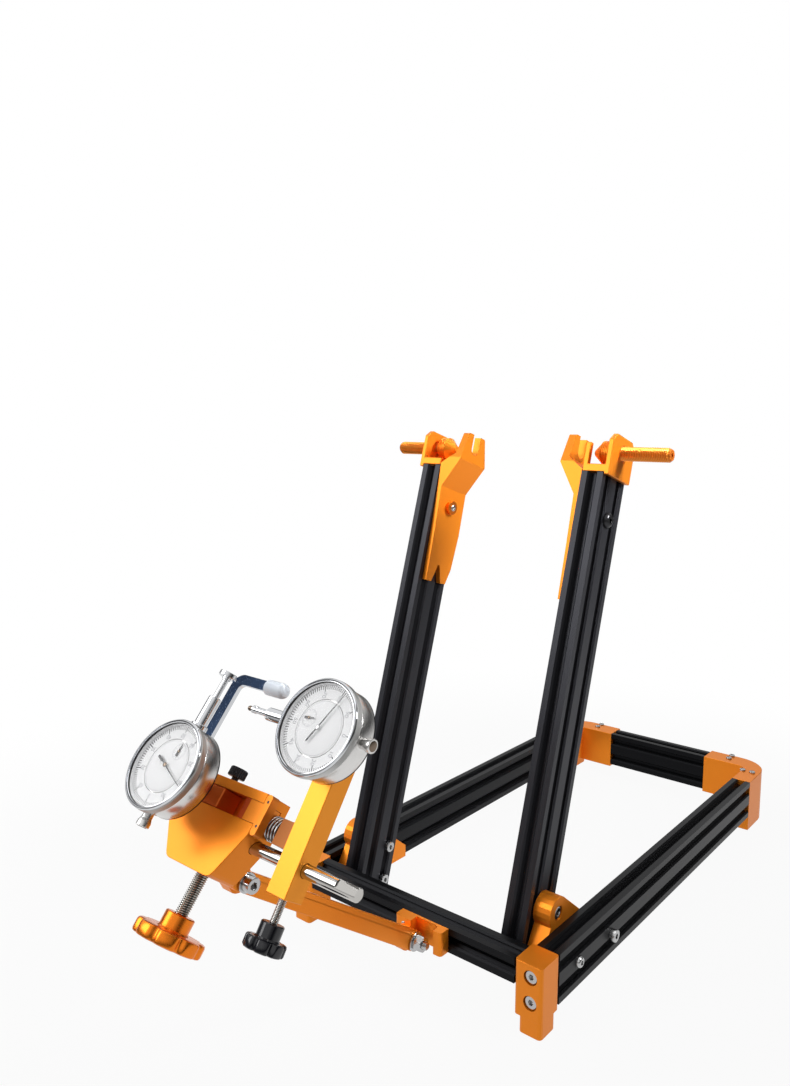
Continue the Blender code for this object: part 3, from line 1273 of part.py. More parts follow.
def dial_gauge(name, parent, place, turn, lug_length, flat_tip, needle_turn, small_turn):
    """One gauge in a frame on its stem: Z runs out along the stem, -Y out of the face."""
    frame = frame_at(f"{name}_frame", parent, place, turn)
    gauge_case(name, frame, lug_length)
    gauge_front(name, frame, frame_at(f"{name}_bezel_axis", frame, (0, 0, 0)))
    dial_top = GAUGE_NECK_FACE + SEAT + PLATE_THICK
    needle_axis = frame_at(f"{name}_needle_axis", frame, (0, 0, 0), (0, needle_turn, 0))
    level = dial_top + SEAT + 3.5 * NEEDLE_THICK
    pointer(f"{name}_needle", needle_axis, level, NEEDLE_LENGTH, NEEDLE_TAIL, NEEDLE_WIDTH, NEEDLE_HUB)
    sub_place = (SUB_DIAL_X, 0, SUB_DIAL_Z)
    small_axis = frame_at(f"{name}_small_axis", frame, sub_place, (0, small_turn, 0))
    level = dial_top + SEAT + NEEDLE_THICK
    pointer(
        f"{name}_small_needle",
        small_axis,
        level,
        SMALL_NEEDLE_LENGTH,
        SMALL_NEEDLE_TAIL,
        NEEDLE_WIDTH,
        SMALL_NEEDLE_HUB,
    )
    gauge_spindle(name, frame_at(f"{name}_spindle_axis", frame, (0, 0, 0)), flat_tip)
    gauge_cap(name, frame)


def stand_on_origin(root):
    """Move the whole stand so that the middle of its underside is the origin."""
    bpy.context.view_layer.update()
    graph = bpy.context.evaluated_depsgraph_get()
    low = Vector((math.inf,) * 3)
    high = Vector((-math.inf,) * 3)
    for piece in stand.objects:
        if piece.type != "MESH":
            continue
        evaluated = piece.evaluated_get(graph)
        mesh = evaluated.to_mesh()
        for vertex in mesh.vertices:
            point = piece.matrix_world @ vertex.co
            low = Vector(map(min, low, point))
            high = Vector(map(max, high, point))
        evaluated.to_mesh_clear()
    middle = (low + high) / 2
    root.location = (-middle.x, -middle.y, -low.z)
    print("stand moved by", [round(value / MM, 3) for value in root.location], "mm")
    print("size", [round(value / MM, 2) for value in high - low], "mm")


def build():
    root = frame_at("stand_root", None, (0, 0, 0))
    base_bars(root)
    front_blocks(root)
    rear_blocks(root)
    axle_frame = frame_at("axle_line", root, (0, 0, AXLE_HEIGHT), (-UPRIGHT_LEAN, 0, 0))
    for side, word in ((-1, "left"), (1, "right")):
        upright(f"{word}_upright", side, axle_frame)
        upright_bracket(f"{word}_bracket", side, root)
        axle_cap(f"{word}_axle_cap", side, axle_frame)
        axle_screw(f"{word}_axle_screw", side, axle_frame)
        axle_support(f"{word}_axle_support", side, axle_frame)
        support_screw(f"{word}_support_screw", side, axle_frame)

    pivot_block(root)
    arm_frame = frame_at("arm_pivot", root, (0, pivot_y, pivot_z), (-ARM_RISE, 0, 0))
    swing_arm(arm_frame)
    nut = (WASHER_RADIUS, NUT_HEIGHT, NUT_STUB)
    hinge_bolt("arm_bolt", arm_frame, arm_left - PIVOT_EAR - SEAT, arm_right, *nut)
    head_turn = ARM_RISE - HEAD_LEAN
    head_frame = frame_at("tilt_axis", arm_frame, (0, -ARM_LENGTH, 0), (head_turn, 0, 0))
    gauge_head(head_frame)
    tilt_frame = frame_at("tilt_bolt_axis", arm_frame, (0, -ARM_LENGTH, 0))
    cap_head = (TILT_WASHER_RADIUS, CAP_HEAD_HEIGHT, 0)
    hinge_bolt("tilt_bolt", tilt_frame, arm_left - HEAD_EAR - SEAT, arm_right, *cap_head)
    carriage_frame = frame_at("carriage_slide", head_frame, (0, 0, 0))
    channel_parts(head_frame, carriage_frame)
    thumb_screw(frame_at("thumb_screw_axis", head_frame, (THUMB_SCREW_X, ROD_Y, 0)))
    side_lever(carriage_frame)
    guide_rod(head_frame)

    post_turn = HEAD_LEAN - POST_LEAN
    post_frame = frame_at("post_slide", head_frame, (0, ROD_Y, ROD_Z), (post_turn, 0, 0))
    gauge_post(post_frame)
    seat_frame = frame_at("spring_seat_frame", head_frame, (0, 0, 0))
    spring_parts(head_frame, seat_frame)
    clamp_screws(
        frame_at("clamp_screw_slide", head_frame, (CLAMP_X, ROD_Y, 0)),
        frame_at("clamp_knob_axis", head_frame, (CLAMP_X, ROD_Y, 0)),
        frame_at("post_stud_slide", post_frame, (post_middle, 0, 0)),
        frame_at("post_knob_axis", post_frame, (post_middle, 0, 0)),
    )

    radial_lug = HEAD_FRONT - RADIAL_GAUGE_Y + GAUGE_BACK - SEAT
    place = (RADIAL_GAUGE_X, RADIAL_GAUGE_Y, RADIAL_GAUGE_Z)
    turns = (math.radians(112), math.radians(4))
    dial_gauge("radial_gauge", carriage_frame, place, (0, 0, 0), radial_lug, True, *turns)
    lateral_lug = -POST_DEPTH / 2 - LATERAL_GAUGE_Y + GAUGE_BACK - SEAT
    place = (LATERAL_GAUGE_X, LATERAL_GAUGE_Y, LATERAL_GAUGE_Z)
    turns = (math.radians(115), math.radians(173))
    dial_gauge("lateral_gauge", post_frame, place, (0, -QUARTER, 0), lateral_lug, False, *turns)
    stand_on_origin(root)


build()
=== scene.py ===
import json
import math

import bmesh
import bpy
from mathutils import Matrix, Vector


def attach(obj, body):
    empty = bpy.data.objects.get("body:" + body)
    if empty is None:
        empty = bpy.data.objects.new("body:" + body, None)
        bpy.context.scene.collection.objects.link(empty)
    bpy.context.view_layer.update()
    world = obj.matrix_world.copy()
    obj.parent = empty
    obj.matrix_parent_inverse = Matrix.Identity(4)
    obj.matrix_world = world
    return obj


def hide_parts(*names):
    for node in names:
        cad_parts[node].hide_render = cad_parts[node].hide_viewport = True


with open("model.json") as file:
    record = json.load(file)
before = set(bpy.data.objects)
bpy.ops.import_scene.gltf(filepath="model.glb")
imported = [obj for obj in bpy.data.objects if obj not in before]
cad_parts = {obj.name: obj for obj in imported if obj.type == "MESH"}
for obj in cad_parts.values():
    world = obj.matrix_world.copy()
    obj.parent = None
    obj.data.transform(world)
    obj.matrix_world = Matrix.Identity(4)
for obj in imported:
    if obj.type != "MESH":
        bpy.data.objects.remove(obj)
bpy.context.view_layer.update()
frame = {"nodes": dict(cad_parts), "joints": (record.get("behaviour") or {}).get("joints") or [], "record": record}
scene = bpy.context.scene
mm = 0.001
print("frame loaded with", len(frame["nodes"]), "nodes")


# where the main lines of the stand lie, read from the frame's own joints and mounts
jointPlace = {joint["name"]: Vector(joint["pos_m"]) for joint in frame["joints"] if "pos_m" in joint}
mountPlace = {mount["name"]: Vector(mount["pos_m"]) for mount in frame["record"]["mounts"]}
lean = {"uprights": 16.5, "arm": 36, "head": 40, "post": 34}
rodLine = {"back": -36.7, "up": 18.8}


def leaning(place, degrees):
    return Matrix.Translation(place) @ Matrix.Rotation(math.radians(-degrees), 4, "X")


def shifted(base, x, y, z):
    # a place this many millimetres along the base's own axes
    return base @ Matrix.Translation((x * mm, y * mm, z * mm))


standFrame = Matrix.Translation((0, mountPlace["wheel_axle"].y, 0))
axleFrame = leaning(mountPlace["wheel_axle"], lean["uprights"])
armFrame = leaning(jointPlace["arm_swing"], lean["arm"])
tiltFrame = leaning(jointPlace["head_tilt"], lean["arm"])
headFrame = leaning(jointPlace["head_tilt"], lean["head"])
postFrame = leaning(shifted(headFrame, 0, rodLine["back"], rodLine["up"]).translation, lean["post"])


# shader maths and materials
class Wire:
    # one value inside a material, so that shader maths reads as plain Python
    def __init__(self, finish, socket):
        self.finish = finish
        self.socket = socket

    def maths(self, operation, first, second):
        return self.finish.node("ShaderNodeMath", {"operation": operation}, {0: first, 1: second})

    def __add__(self, other):
        return self.maths("ADD", self, other)

    def __radd__(self, other):
        return self.maths("ADD", other, self)

    def __rsub__(self, other):
        return self.maths("SUBTRACT", other, self)

    def __mul__(self, other):
        return self.maths("MULTIPLY", self, other)

    def __rmul__(self, other):
        return self.maths("MULTIPLY", other, self)

    def __pow__(self, other):
        return self.maths("POWER", self, other)


class Finish:
    # a material being made: node() adds any node, fill() sets or links sockets by name
    def __init__(self, name):
        self.material = bpy.data.materials.new(name)
        self.material.use_nodes = True
        self.tree = self.material.node_tree
        self.shader = self.tree.nodes["Principled BSDF"]

    def node(self, kind, settings=None, sockets=None, output=0):
        added = self.tree.nodes.new(kind)
        for key, value in (settings or {}).items():
            if key == "stops":
                self.setStops(added.color_ramp, value)
            else:
                setattr(added, key, value)
        self.fill(added, sockets or {})
        return Wire(self, added.outputs[output])

    def setStops(self, ramp, stops):
        while len(ramp.elements) < len(stops):
            ramp.elements.new(1)
        for element, (position, colour) in zip(ramp.elements, stops):
            element.position = position
            element.color = (*colour, 1)

    def fill(self, target, sockets):
        for key, value in sockets.items():
            if isinstance(value, Wire):
                self.tree.links.new(value.socket, target.inputs[key])
            else:
                target.inputs[key].default_value = value

    def grain(self, cell, turn=(0, 0, 0), detail=2):
        # noise whose grains measure cell = (x, y, z) metres, in the piece's own directions
        place = self.node("ShaderNodeTexCoord", output=3)
        turned = tuple(math.radians(angle) for angle in turn)
        scaled = self.node("ShaderNodeMapping", {"vector_type": "TEXTURE"}, {0: place, 2: turned, 3: cell})
        return self.node("ShaderNodeTexNoise", {}, {"Vector": scaled, "Scale": 1, "Detail": detail})

    def parts(self, output=3):
        # the point's x, y and z as three values, in the piece's own directions
        place = self.node("ShaderNodeTexCoord", output=output)
        split = self.tree.nodes.new("ShaderNodeSeparateXYZ")
        self.fill(split, {0: place})
        return [Wire(self, split.outputs[index]) for index in range(3)]

    def ramp(self, value, low, high, start=0, end=1):
        # goes softly from start to end while the value goes from low to high
        stops = {0: value, 1: low, 2: high, 3: start, 4: end}
        return self.node("ShaderNodeMapRange", {"interpolation_type": "SMOOTHSTEP"}, stops)

    def lathe(self, pitch):
        # turning marks: noise that changes only with the radius and the height of a turned piece
        x, y, z = self.parts()
        radius = (x * x + y * y) ** 0.5
        point = self.node("ShaderNodeCombineXYZ", {}, {0: radius * (1 / pitch), 2: z * (1 / pitch)})
        return self.node("ShaderNodeTexNoise", {}, {"Vector": point, "Scale": 1, "Detail": 3})

    def mixed(self, factor, first, second):
        colours = {0: factor, 6: (*first, 1), 7: (*second, 1)}
        return self.node("ShaderNodeMix", {"data_type": "RGBA"}, colours, 2)

    def bump(self, height, strength, distance):
        sockets = {"Height": height, "Strength": strength, "Distance": distance}
        return self.node("ShaderNodeBump", {}, sockets)

    def done(self, **sockets):
        self.fill(self.shader, {key.replace("_", " "): value for key, value in sockets.items()})
        return self.material


def anodised(name, dark, light, cell, turn=(0, 0, 0), metallic=0.6, rough=(0.3, 0.42), sheen=0.3):
    # coloured oxide on aluminium: fine grain with broad, faint clouds of colour
    finish = Finish(name)
    fine = finish.grain(cell, turn, 3)
    cloud = finish.grain((0.05, 0.05, 0.05), turn, 2)
    blend = fine * 0.6 + cloud * 0.4
    finish.fill(finish.shader, {"Specular IOR Level": sheen})
    return finish.done(
        Base_Color=finish.mixed(blend, dark, light),
        Metallic=metallic,
        Roughness=rough[0] + (rough[1] - rough[0]) * fine,
        Normal=finish.bump(fine, 0.35, 0.00005),
    )


def turnedMetal(name, dark, light, rough, pitch=0.00025):
    # metal from the lathe: fine rings round the axis, a little stain
    finish = Finish(name)
    rings = finish.lathe(pitch)
    stain = finish.grain((0.012, 0.012, 0.012))
    return finish.done(
        Base_Color=finish.mixed(stain, dark, light),
        Metallic=1,
        Roughness=rough[0] + (rough[1] - rough[0]) * rings,
        Normal=finish.bump(rings, 0.25, 0.00003),
    )


def threaded(name, rootShade, crest, low, high, metallic=1, rough=(0.16, 0.3)):
    # a cut thread: painted shade in its roots and a painted highlight on its crests, set by the radius
    finish = Finish(name)
    x, y = finish.parts()[:2]
    rings = finish.lathe(0.0003)
    share = finish.ramp((x * x + y * y) ** 0.5, low, high)
    return finish.done(
        Base_Color=finish.mixed(share, rootShade, crest),
        Metallic=metallic,
        Roughness=rough[0] + (rough[1] - rough[0]) * rings,
        Normal=finish.bump(rings, 0.2, 0.00003),
    )


def speckledPlating(name, dark, light, speck):
    # dark plating with a fine sparkle
    finish = Finish(name)
    stain = finish.grain((0.012, 0.012, 0.012))
    smear = finish.grain((0.003, 0.003, 0.02))
    grains = finish.ramp(finish.grain((0.0007, 0.0007, 0.0007), detail=1), 0.66, 0.8)
    base = finish.mixed(stain, dark, light)
    colour = finish.node("ShaderNodeMix", {"data_type": "RGBA"}, {0: grains, 6: base, 7: (*speck, 1)}, 2)
    return finish.done(Base_Color=colour, Metallic=1, Roughness=0.1 + 0.1 * smear)


def stopFinish(name, edge):
    # the channel's end stop: painted shade, a deep red orange, on its part inside the channel, the head's own
    # orange from this x on
    finish = Finish(name)
    fine = finish.grain(evenGrain, detail=3)
    x = finish.parts()[0]
    outside = finish.node("ShaderNodeMath", {"operation": "GREATER_THAN"}, {0: x, 1: edge})
    # painted shade for the part of the stop inside the channel
    inner = finish.mixed(fine, (0.60, 0.07, 0.010), (0.70, 0.10, 0.014))
    outer = finish.mixed(fine, orangeDark, orangeLight)
    colour = finish.node("ShaderNodeMix", {"data_type": "RGBA"}, {0: outside, 6: inner, 7: outer}, 2)
    return finish.done(
        Base_Color=colour,
        Metallic=0.6,
        Roughness=0.3 + 0.12 * fine,
        Normal=finish.bump(fine, 0.35, 0.00005),
    )


def polished(name, dark, light):
    # bright plating with faint wiping marks
    finish = Finish(name)
    smear = finish.grain((0.003, 0.003, 0.02))
    stain = finish.grain((0.02, 0.02, 0.02))
    return finish.done(
        Base_Color=finish.mixed(stain, dark, light), Metallic=1, Roughness=0.05 + 0.08 * smear
    )


def moulded(name, dark, light, rough, cell=0.0006, height=0.00008, sheen=0.5):
    # plastic, rubber or paint with a fine skin
    finish = Finish(name)
    finish.fill(finish.shader, {"Specular IOR Level": sheen})
    skin = finish.grain((cell, cell, cell), detail=4)
    cloud = finish.grain((0.015, 0.015, 0.015))
    return finish.done(
        Base_Color=finish.mixed(cloud, dark, light),
        Roughness=rough[0] + (rough[1] - rough[0]) * skin,
        Normal=finish.bump(skin, 0.3, height),
    )


def clearFace(name):
    # the gauges' clear window: nearly nothing but its own shine
    finish = Finish(name)
    smear = finish.grain((0.006, 0.006, 0.006))
    finish.fill(finish.shader, {"IOR": 1.46, "Coat Weight": 0.4})
    return finish.done(Base_Color=(0.95, 0.97, 1, 1), Alpha=0.03, Roughness=0.03 + 0.05 * smear)


orangeDark = (0.83, 0.225, 0.010)
orangeLight = (0.94, 0.285, 0.016)
blackDark = (0.003, 0.003, 0.004)
blackLight = (0.009, 0.0095, 0.011)
grainSize = 0.0009
evenGrain = (grainSize,) * 3
drawn = 0.06  # drawing lines run this far along a bar

# anodised pieces
orange = anodised("orange_anodised", orangeDark, orangeLight, evenGrain)
redOrange = anodised("deep_orange_anodised", (0.60, 0.105, 0.012), (0.72, 0.15, 0.018), evenGrain)
# painted light: a paler copy of the orange for the post, standing for the stronger light on its front
paintedLightOrange = anodised("orange_anodised_painted_light", (0.88, 0.285, 0.018), (0.95, 0.345, 0.026), evenGrain)
# painted shade: a dark brown copy of the orange for the spring seat, which lies in shade between the spring and
# the post
paintedShadeOrange = anodised("orange_anodised_painted_shade", (0.20, 0.062, 0.012), (0.27, 0.085, 0.015), evenGrain)
orangeGloss = anodised(
    "orange_gloss", (0.80, 0.19, 0.012), (0.90, 0.24, 0.018), evenGrain, metallic=0.85, rough=(0.2, 0.3)
)
blackAlongX = anodised("black_bar_across", blackDark, blackLight, (drawn, grainSize, grainSize), sheen=0.14)
blackAlongY = anodised("black_bar_along", blackDark, blackLight, (grainSize, drawn, grainSize), sheen=0.2)
# painted sheen: the uprights' black is a lighter copy of the bars' black, standing for the reflections on their
# front faces
alongUpright = {"cell": (grainSize, grainSize, drawn), "turn": (-lean["uprights"], 0, 0)}
sheenBlackUpright = anodised("black_bar_upright_painted_sheen", (0.018, 0.018, 0.022), (0.040, 0.041, 0.048), **alongUpright)

# bare and plated metal
silver = turnedMetal("silver_case", (0.66, 0.65, 0.635), (0.74, 0.73, 0.72), (0.2, 0.32))
steel = turnedMetal("bright_steel", (0.42, 0.42, 0.42), (0.55, 0.55, 0.55), (0.14, 0.26))
# blackened steel for screws and pins, also used as painted shade in the bezel grooves
darkSteelAndGrooveShade = turnedMetal("blackened_steel_and_groove_shade", (0.03, 0.03, 0.032), (0.055, 0.055, 0.058), (0.25, 0.4))
brownSteel = turnedMetal("browned_steel", (0.15, 0.115, 0.09), (0.22, 0.17, 0.13), (0.16, 0.26))
satin = turnedMetal("satin_band", (0.50, 0.50, 0.49), (0.58, 0.58, 0.575), (0.3, 0.42))
rodSteel = polished("rod_steel", (0.50, 0.485, 0.46), (0.58, 0.565, 0.54))
chrome = polished("chrome", (0.60, 0.61, 0.63), (0.70, 0.71, 0.73))
plated = {"dark": (0.003, 0.008, 0.02), "light": (0.012, 0.023, 0.048), "speck": (0.25, 0.32, 0.45)}
deepSteel = speckledPlating("dark_plated_steel", **plated)

# threads, with the radii of their roots and crests; each root colour is painted shade and each crest colour a
# painted highlight
clampThread = threaded("clamp_thread", (0.25, 0.235, 0.21), (0.68, 0.67, 0.64), 3.4 * mm, 4.15 * mm)
studThread = threaded("stud_thread", (0.36, 0.35, 0.33), (0.76, 0.76, 0.75), 2.12 * mm, 2.47 * mm)
orangeThread = threaded(
    "orange_thread", (0.76, 0.19, 0.012), (0.98, 0.37, 0.04), 5.3 * mm, 5.95 * mm, 0.6, (0.28, 0.4)
)

# plastic, paint and the window
blackGloss = moulded(
    "glossy_black", (0.006, 0.006, 0.009), (0.012, 0.013, 0.018), (0.07, 0.16), height=0.00003
)
blackPlastic = moulded(
    "black_plastic", (0.006, 0.006, 0.008), (0.014, 0.014, 0.018), (0.18, 0.3), sheen=0.28
)
milky = moulded("milky_tip", (0.70, 0.76, 0.84), (0.80, 0.85, 0.91), (0.35, 0.5))
dialWhite = moulded(
    "dial_white", (0.975, 0.975, 0.98), (0.985, 0.985, 0.99), (0.6, 0.65), 0.0004, 0.000001
)
inkDark = moulded("tick_ink", (0.02, 0.02, 0.025), (0.04, 0.04, 0.05), (0.4, 0.55), 0.0004, 0.00002)
inkPale = moulded("number_ink", (0.42, 0.42, 0.44), (0.50, 0.50, 0.52), (0.4, 0.55), 0.0004, 0.00002)
needleBlack = moulded("pointer_black", (0.015, 0.015, 0.018), (0.03, 0.03, 0.034), (0.3, 0.4))
clear = clearFace("clear_window")
print("materials made")


def finishNodes(material, *names):
    # a CAD node whose shape is right keeps it and gets this finish
    for name in names:
        for holder in frame["nodes"][name].material_slots:
            holder.material = material


finishNodes(blackAlongX, "front_bar", "rear_bar")
finishNodes(blackAlongY, "left_side_bar", "right_side_bar")
# the uprights get the lighter black, which is painted sheen
finishNodes(sheenBlackUpright, "left_upright", "right_upright")
finishNodes(orange, "front_left_block", "front_right_block", "rear_left_block", "rear_right_block")
finishNodes(orange, "left_bracket", "right_bracket", "left_axle_cap", "right_axle_cap")
finishNodes(orange, "left_axle_support", "right_axle_support", "pivot_block", "swing_arm")
finishNodes(orange, "gauge_head")
# the post gets the paler copy of the orange, which is painted light
finishNodes(paintedLightOrange, "gauge_post")
# the spring seat gets the dark copy of the orange, which is painted shade
finishNodes(paintedShadeOrange, "spring_seat")
finishNodes(redOrange, "carriage")
# the end stop has painted shade on its part inside the channel
finishNodes(stopFinish("end_stop_anodised_channel_shade", 43 * mm), "end_stop")


# tools for the pieces that replace CAD nodes or add to them; their outlines and places are in millimetres
def inMetres(point):
    return tuple(value * mm for value in point)


def ringAt(radius, height, steps):
    points = []
    for step in range(steps):
        angle = 2 * math.pi * step / steps
        reach = radius(angle) if callable(radius) else radius
        points.append((reach * math.cos(angle), reach * math.sin(angle), height))
    return points


def stackMesh(name, levels, steps=48, closed=False):
    # a body round Z from (radius, height) levels; a radius may be a function of the angle
    shape = bmesh.new()
    rings = [[shape.verts.new(inMetres(point)) for point in ringAt(*level, steps)] for level in levels]
    pairs = list(zip(rings, rings[1:]))
    if closed:
        pairs.append((rings[-1], rings[0]))
    for low, high in pairs:
        for index in range(steps):
            after = (index + 1) % steps
            shape.faces.new((low[index], low[after], high[after], high[index]))
    if not closed:
        shape.faces.new(rings[0][::-1])
        shape.faces.new(rings[-1])
    bmesh.ops.recalc_face_normals(shape, faces=shape.faces)
    mesh = bpy.data.meshes.new(name)
    shape.to_mesh(mesh)
    shape.free()
    return mesh


def hexagon(across):
    return lambda angle: across / 2 / math.cos(angle % (math.pi / 3) - math.pi / 6)


def chamferedHexagon(across, limit):
    full = hexagon(across)
    return lambda angle: min(full(angle), limit)


def lobed(radius, lobes, depth):
    return lambda angle: radius - depth * ((1 - math.cos(lobes * angle)) / 2) ** 5


def knurled(radius, teeth, depth):
    return lambda angle: radius - depth * abs(math.sin(teeth * angle / 2))


def flatCut(radius, level):
    # a round bar with one side cut flat, towards the ring's own -X
    return lambda angle: min(radius, level / max(-math.cos(angle), 0.001))


def threadLevels(radius, pitch, start, end, depth, perPitch=6):
    # levels of a thread that climbs from start to end, with its crests at the radius
    def crest(height):
        def reach(angle):
            phase = (height / pitch - angle / (2 * math.pi)) % 1
            fall = min(max(abs(2 * phase - 1) * 1.5 - 0.25, 0), 1)
            return radius - depth * fall

        return reach

    count = round((end - start) / pitch * perPitch)
    heights = [start + (end - start) * step / count for step in range(count + 1)]
    return [(crest(height), height) for height in heights]


def flatMesh(name, loops, depth):
    # a flat outline in XY with any holes, made solid to this depth about its plane
    curve = bpy.data.curves.new(name, "CURVE")
    curve.dimensions = "2D"
    curve.fill_mode = "BOTH"
    curve.extrude = depth * mm / 2
    for loop in loops:
        spline = curve.splines.new("POLY")
        spline.points.add(len(loop) - 1)
        for point, (x, y) in zip(spline.points, loop):
            point.co = (x * mm, y * mm, 0, 1)
        spline.use_cyclic_u = True
    return fromCurve(name, curve)


def fromCurve(name, curve):
    holder = bpy.data.objects.new(name, curve)
    scene.collection.objects.link(holder)
    graph = bpy.context.evaluated_depsgraph_get()
    mesh = bpy.data.meshes.new_from_object(holder.evaluated_get(graph))
    bpy.data.objects.remove(holder, do_unlink=True)
    shape = bmesh.new()
    shape.from_mesh(mesh)
    bmesh.ops.remove_doubles(shape, verts=shape.verts, dist=0.01 * mm)
    bmesh.ops.recalc_face_normals(shape, faces=shape.faces)
    shape.to_mesh(mesh)
    shape.free()
    mesh.materials.clear()
    return mesh


def roundedLoop(corners, steps):
    # corners are (x, y, radius), with the radius left out where the corner is sharp
    points = []
    for index, corner in enumerate(corners):
        here = Vector(corner[:2])
        if len(corner) == 2:
            points.append(tuple(here))
            continue
        before = (Vector(corners[index - 1][:2]) - here).normalized()
        after = (Vector(corners[(index + 1) % len(corners)][:2]) - here).normalized()
        half = before.angle(after) / 2
        reach = corner[2] / math.tan(half)
        middle = here + (before + after).normalized() * (corner[2] / math.sin(half))
        start = here + before * reach - middle
        turn = start.angle_signed(here + after * reach - middle)
        for step in range(steps + 1):
            spoke = start.copy()
            spoke.rotate(Matrix.Rotation(-turn * step / steps, 2))
            points.append(tuple(middle + spoke))
    return points


def softEdges(piece, width):
    modifier = piece.modifiers.new("soft_edges", "BEVEL")
    modifier.width = width * mm
    modifier.segments = 3
    modifier.limit_method = "ANGLE"
    modifier.angle_limit = math.radians(35)


def addPiece(name, mesh, finish, place, body, stands=(), sharp=38):
    piece = bpy.data.objects.new(name, mesh)
    scene.collection.objects.link(piece)
    piece.matrix_world = place
    mesh.materials.append(finish)
    mesh.shade_smooth()
    mesh.set_sharp_from_angle(angle=math.radians(sharp))
    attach(piece, body)
    if stands:
        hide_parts(*stands)
    return piece


def addTurned(name, levels, steps, finish, place, body, stands=(), sharp=38, closed=False):
    # a piece turned round its own Z; gives back its mesh
    mesh = stackMesh(name + "_mesh", levels, steps, closed)
    addPiece(name, mesh, finish, place, body, stands, sharp)
    return mesh


def secondFinish(mesh, finish, chosen):
    # the chosen faces get another finish
    mesh.materials.append(finish)
    for face in mesh.polygons:
        if chosen(face):
            face.material_index = len(mesh.materials) - 1


def aimed(base, place, direction):
    # a place in the base frame whose own Z points in this direction
    turn = Vector(direction).to_track_quat("Z", "Y").to_matrix().to_4x4()
    return shifted(base, *place) @ turn


toRight, forward, upward = (1, 0, 0), (0, -1, 0), (0, 0, 1)
sides = {"left": -1, "right": 1}


# screws; a size is the head's radius and height, the socket's width and the shank's radius
def socketLevels(radius, across, top, depth):
    # from a head's outer top edge in to its hexagon socket, which goes this deep
    return [
        (radius, top),
        (across * 0.62, top),
        (hexagon(across), top - 0.25),
        (hexagon(across), top - depth),
        (0.2, top - depth - 0.3),
    ]


def capScrew(name, size, place, body="base", stands=()):
    # a cylinder head with its socket, standing on the surface at its own Z 0
    radius, height, across, shank = size
    levels = [(shank, -3), (shank, 0), (radius - 0.2, 0), (radius, 0.2)]
    levels += [(radius, height - 0.5), (radius - 0.15, height - 0.15)]
    levels += socketLevels(radius - 0.5, across, height, height * 0.55)
    addTurned(name, levels, 36, steel, place, body, stands)


def buttonScrew(name, size, place, finish=steel, stands=(), length=3):
    # a domed head with its socket
    radius, height, across, shank = size
    levels = [(shank, -length), (shank, 0), (radius - 0.1, 0), (radius, 0.15)]
    rim = across * 0.75
    for step in range(1, 7):
        angle = math.pi / 2 * step / 6
        levels.append((rim + (radius - rim) * math.cos(angle), 0.2 + (height - 0.2) * math.sin(angle)))
    levels += socketLevels(rim, across, height, height * 0.6)[1:]
    addTurned(name, levels, 36, finish, place, "base", stands)


# axle screws: cone, ridged collar and long thread
axleScrew = {
    "tip": 74.5, "inner": 82.5, "outer": 91, "end": 143, "collar": 10.5, "groove": 9.9, "ridges": 5,
    "ridgeStep": 1.55, "neck": 5.1, "neckLength": 1.5, "thread": 6, "pitch": 1.5, "cut": 0.75,
}


def axleLevels(size):
    collarStart = size["inner"] - size["tip"]
    collarEnd = size["outer"] - size["tip"]
    end = size["end"] - size["tip"]
    levels = [(1.5, 0), (2.8, 0), (3, 0.3), (9.4, collarStart - 0.5), (size["groove"], collarStart)]
    for ridge in range(size["ridges"]):
        low = collarStart + 0.4 + ridge * size["ridgeStep"]
        levels += [(size["collar"], low), (size["collar"], low + 0.9)]
        levels += [(size["groove"], low + 1.1), (size["groove"], low + 1.35)]
    threadStart = collarEnd + size["neckLength"]
    levels += [(9.3, collarEnd), (size["neck"], collarEnd), (size["neck"], threadStart)]
    levels += threadLevels(size["thread"], size["pitch"], threadStart, end - 1.8, size["cut"])
    return levels + [(5.2, end - 1.2), (4.6, end), (1.6, end), (1.6, end - 4)]


for side, sign in sides.items():
    name = side + "_axle_screw"
    place = aimed(axleFrame, (sign * axleScrew["tip"], 0, 0), (sign, 0, 0))
    mesh = addTurned(name + "_turned", axleLevels(axleScrew), 56, orange, place, name, [name], 32)
    # the screw's thread has painted shade in its roots and a painted highlight on its crests
    secondFinish(mesh, orangeThread, lambda face: face.center.z > 18.2 * mm)


# black button screws hold the axle supports, with an orange boss and a small end screw inside
supportScrew = {"size": (6.5, 3.5, 4, 2.5), "out": 95.3, "down": -57, "length": 29.2}
supportEnd = {"size": (3.2, 1.2, 2.2, 1.8), "out": 66}
bossLevels = [(2, -0.05), (6.2, -0.05), (6.5, 0.3), (6.5, 3.2), (6.2, 3.5), (3, 3.5)]
for side, sign in sides.items():
    name = side + "_support_screw"
    place = aimed(axleFrame, (sign * supportScrew["out"], 0, supportScrew["down"]), (sign, 0, 0))
    length = supportScrew["length"]
    buttonScrew(name + "_turned", supportScrew["size"], place, darkSteelAndGrooveShade, [name], length)
    addTurned(name + "_boss", bossLevels, 40, orangeGloss, shifted(place, 0, 0, -length), "base")
    place = aimed(axleFrame, (sign * supportEnd["out"], 0, supportScrew["down"]), (-sign, 0, 0))
    buttonScrew(name + "_end", supportEnd["size"], place)


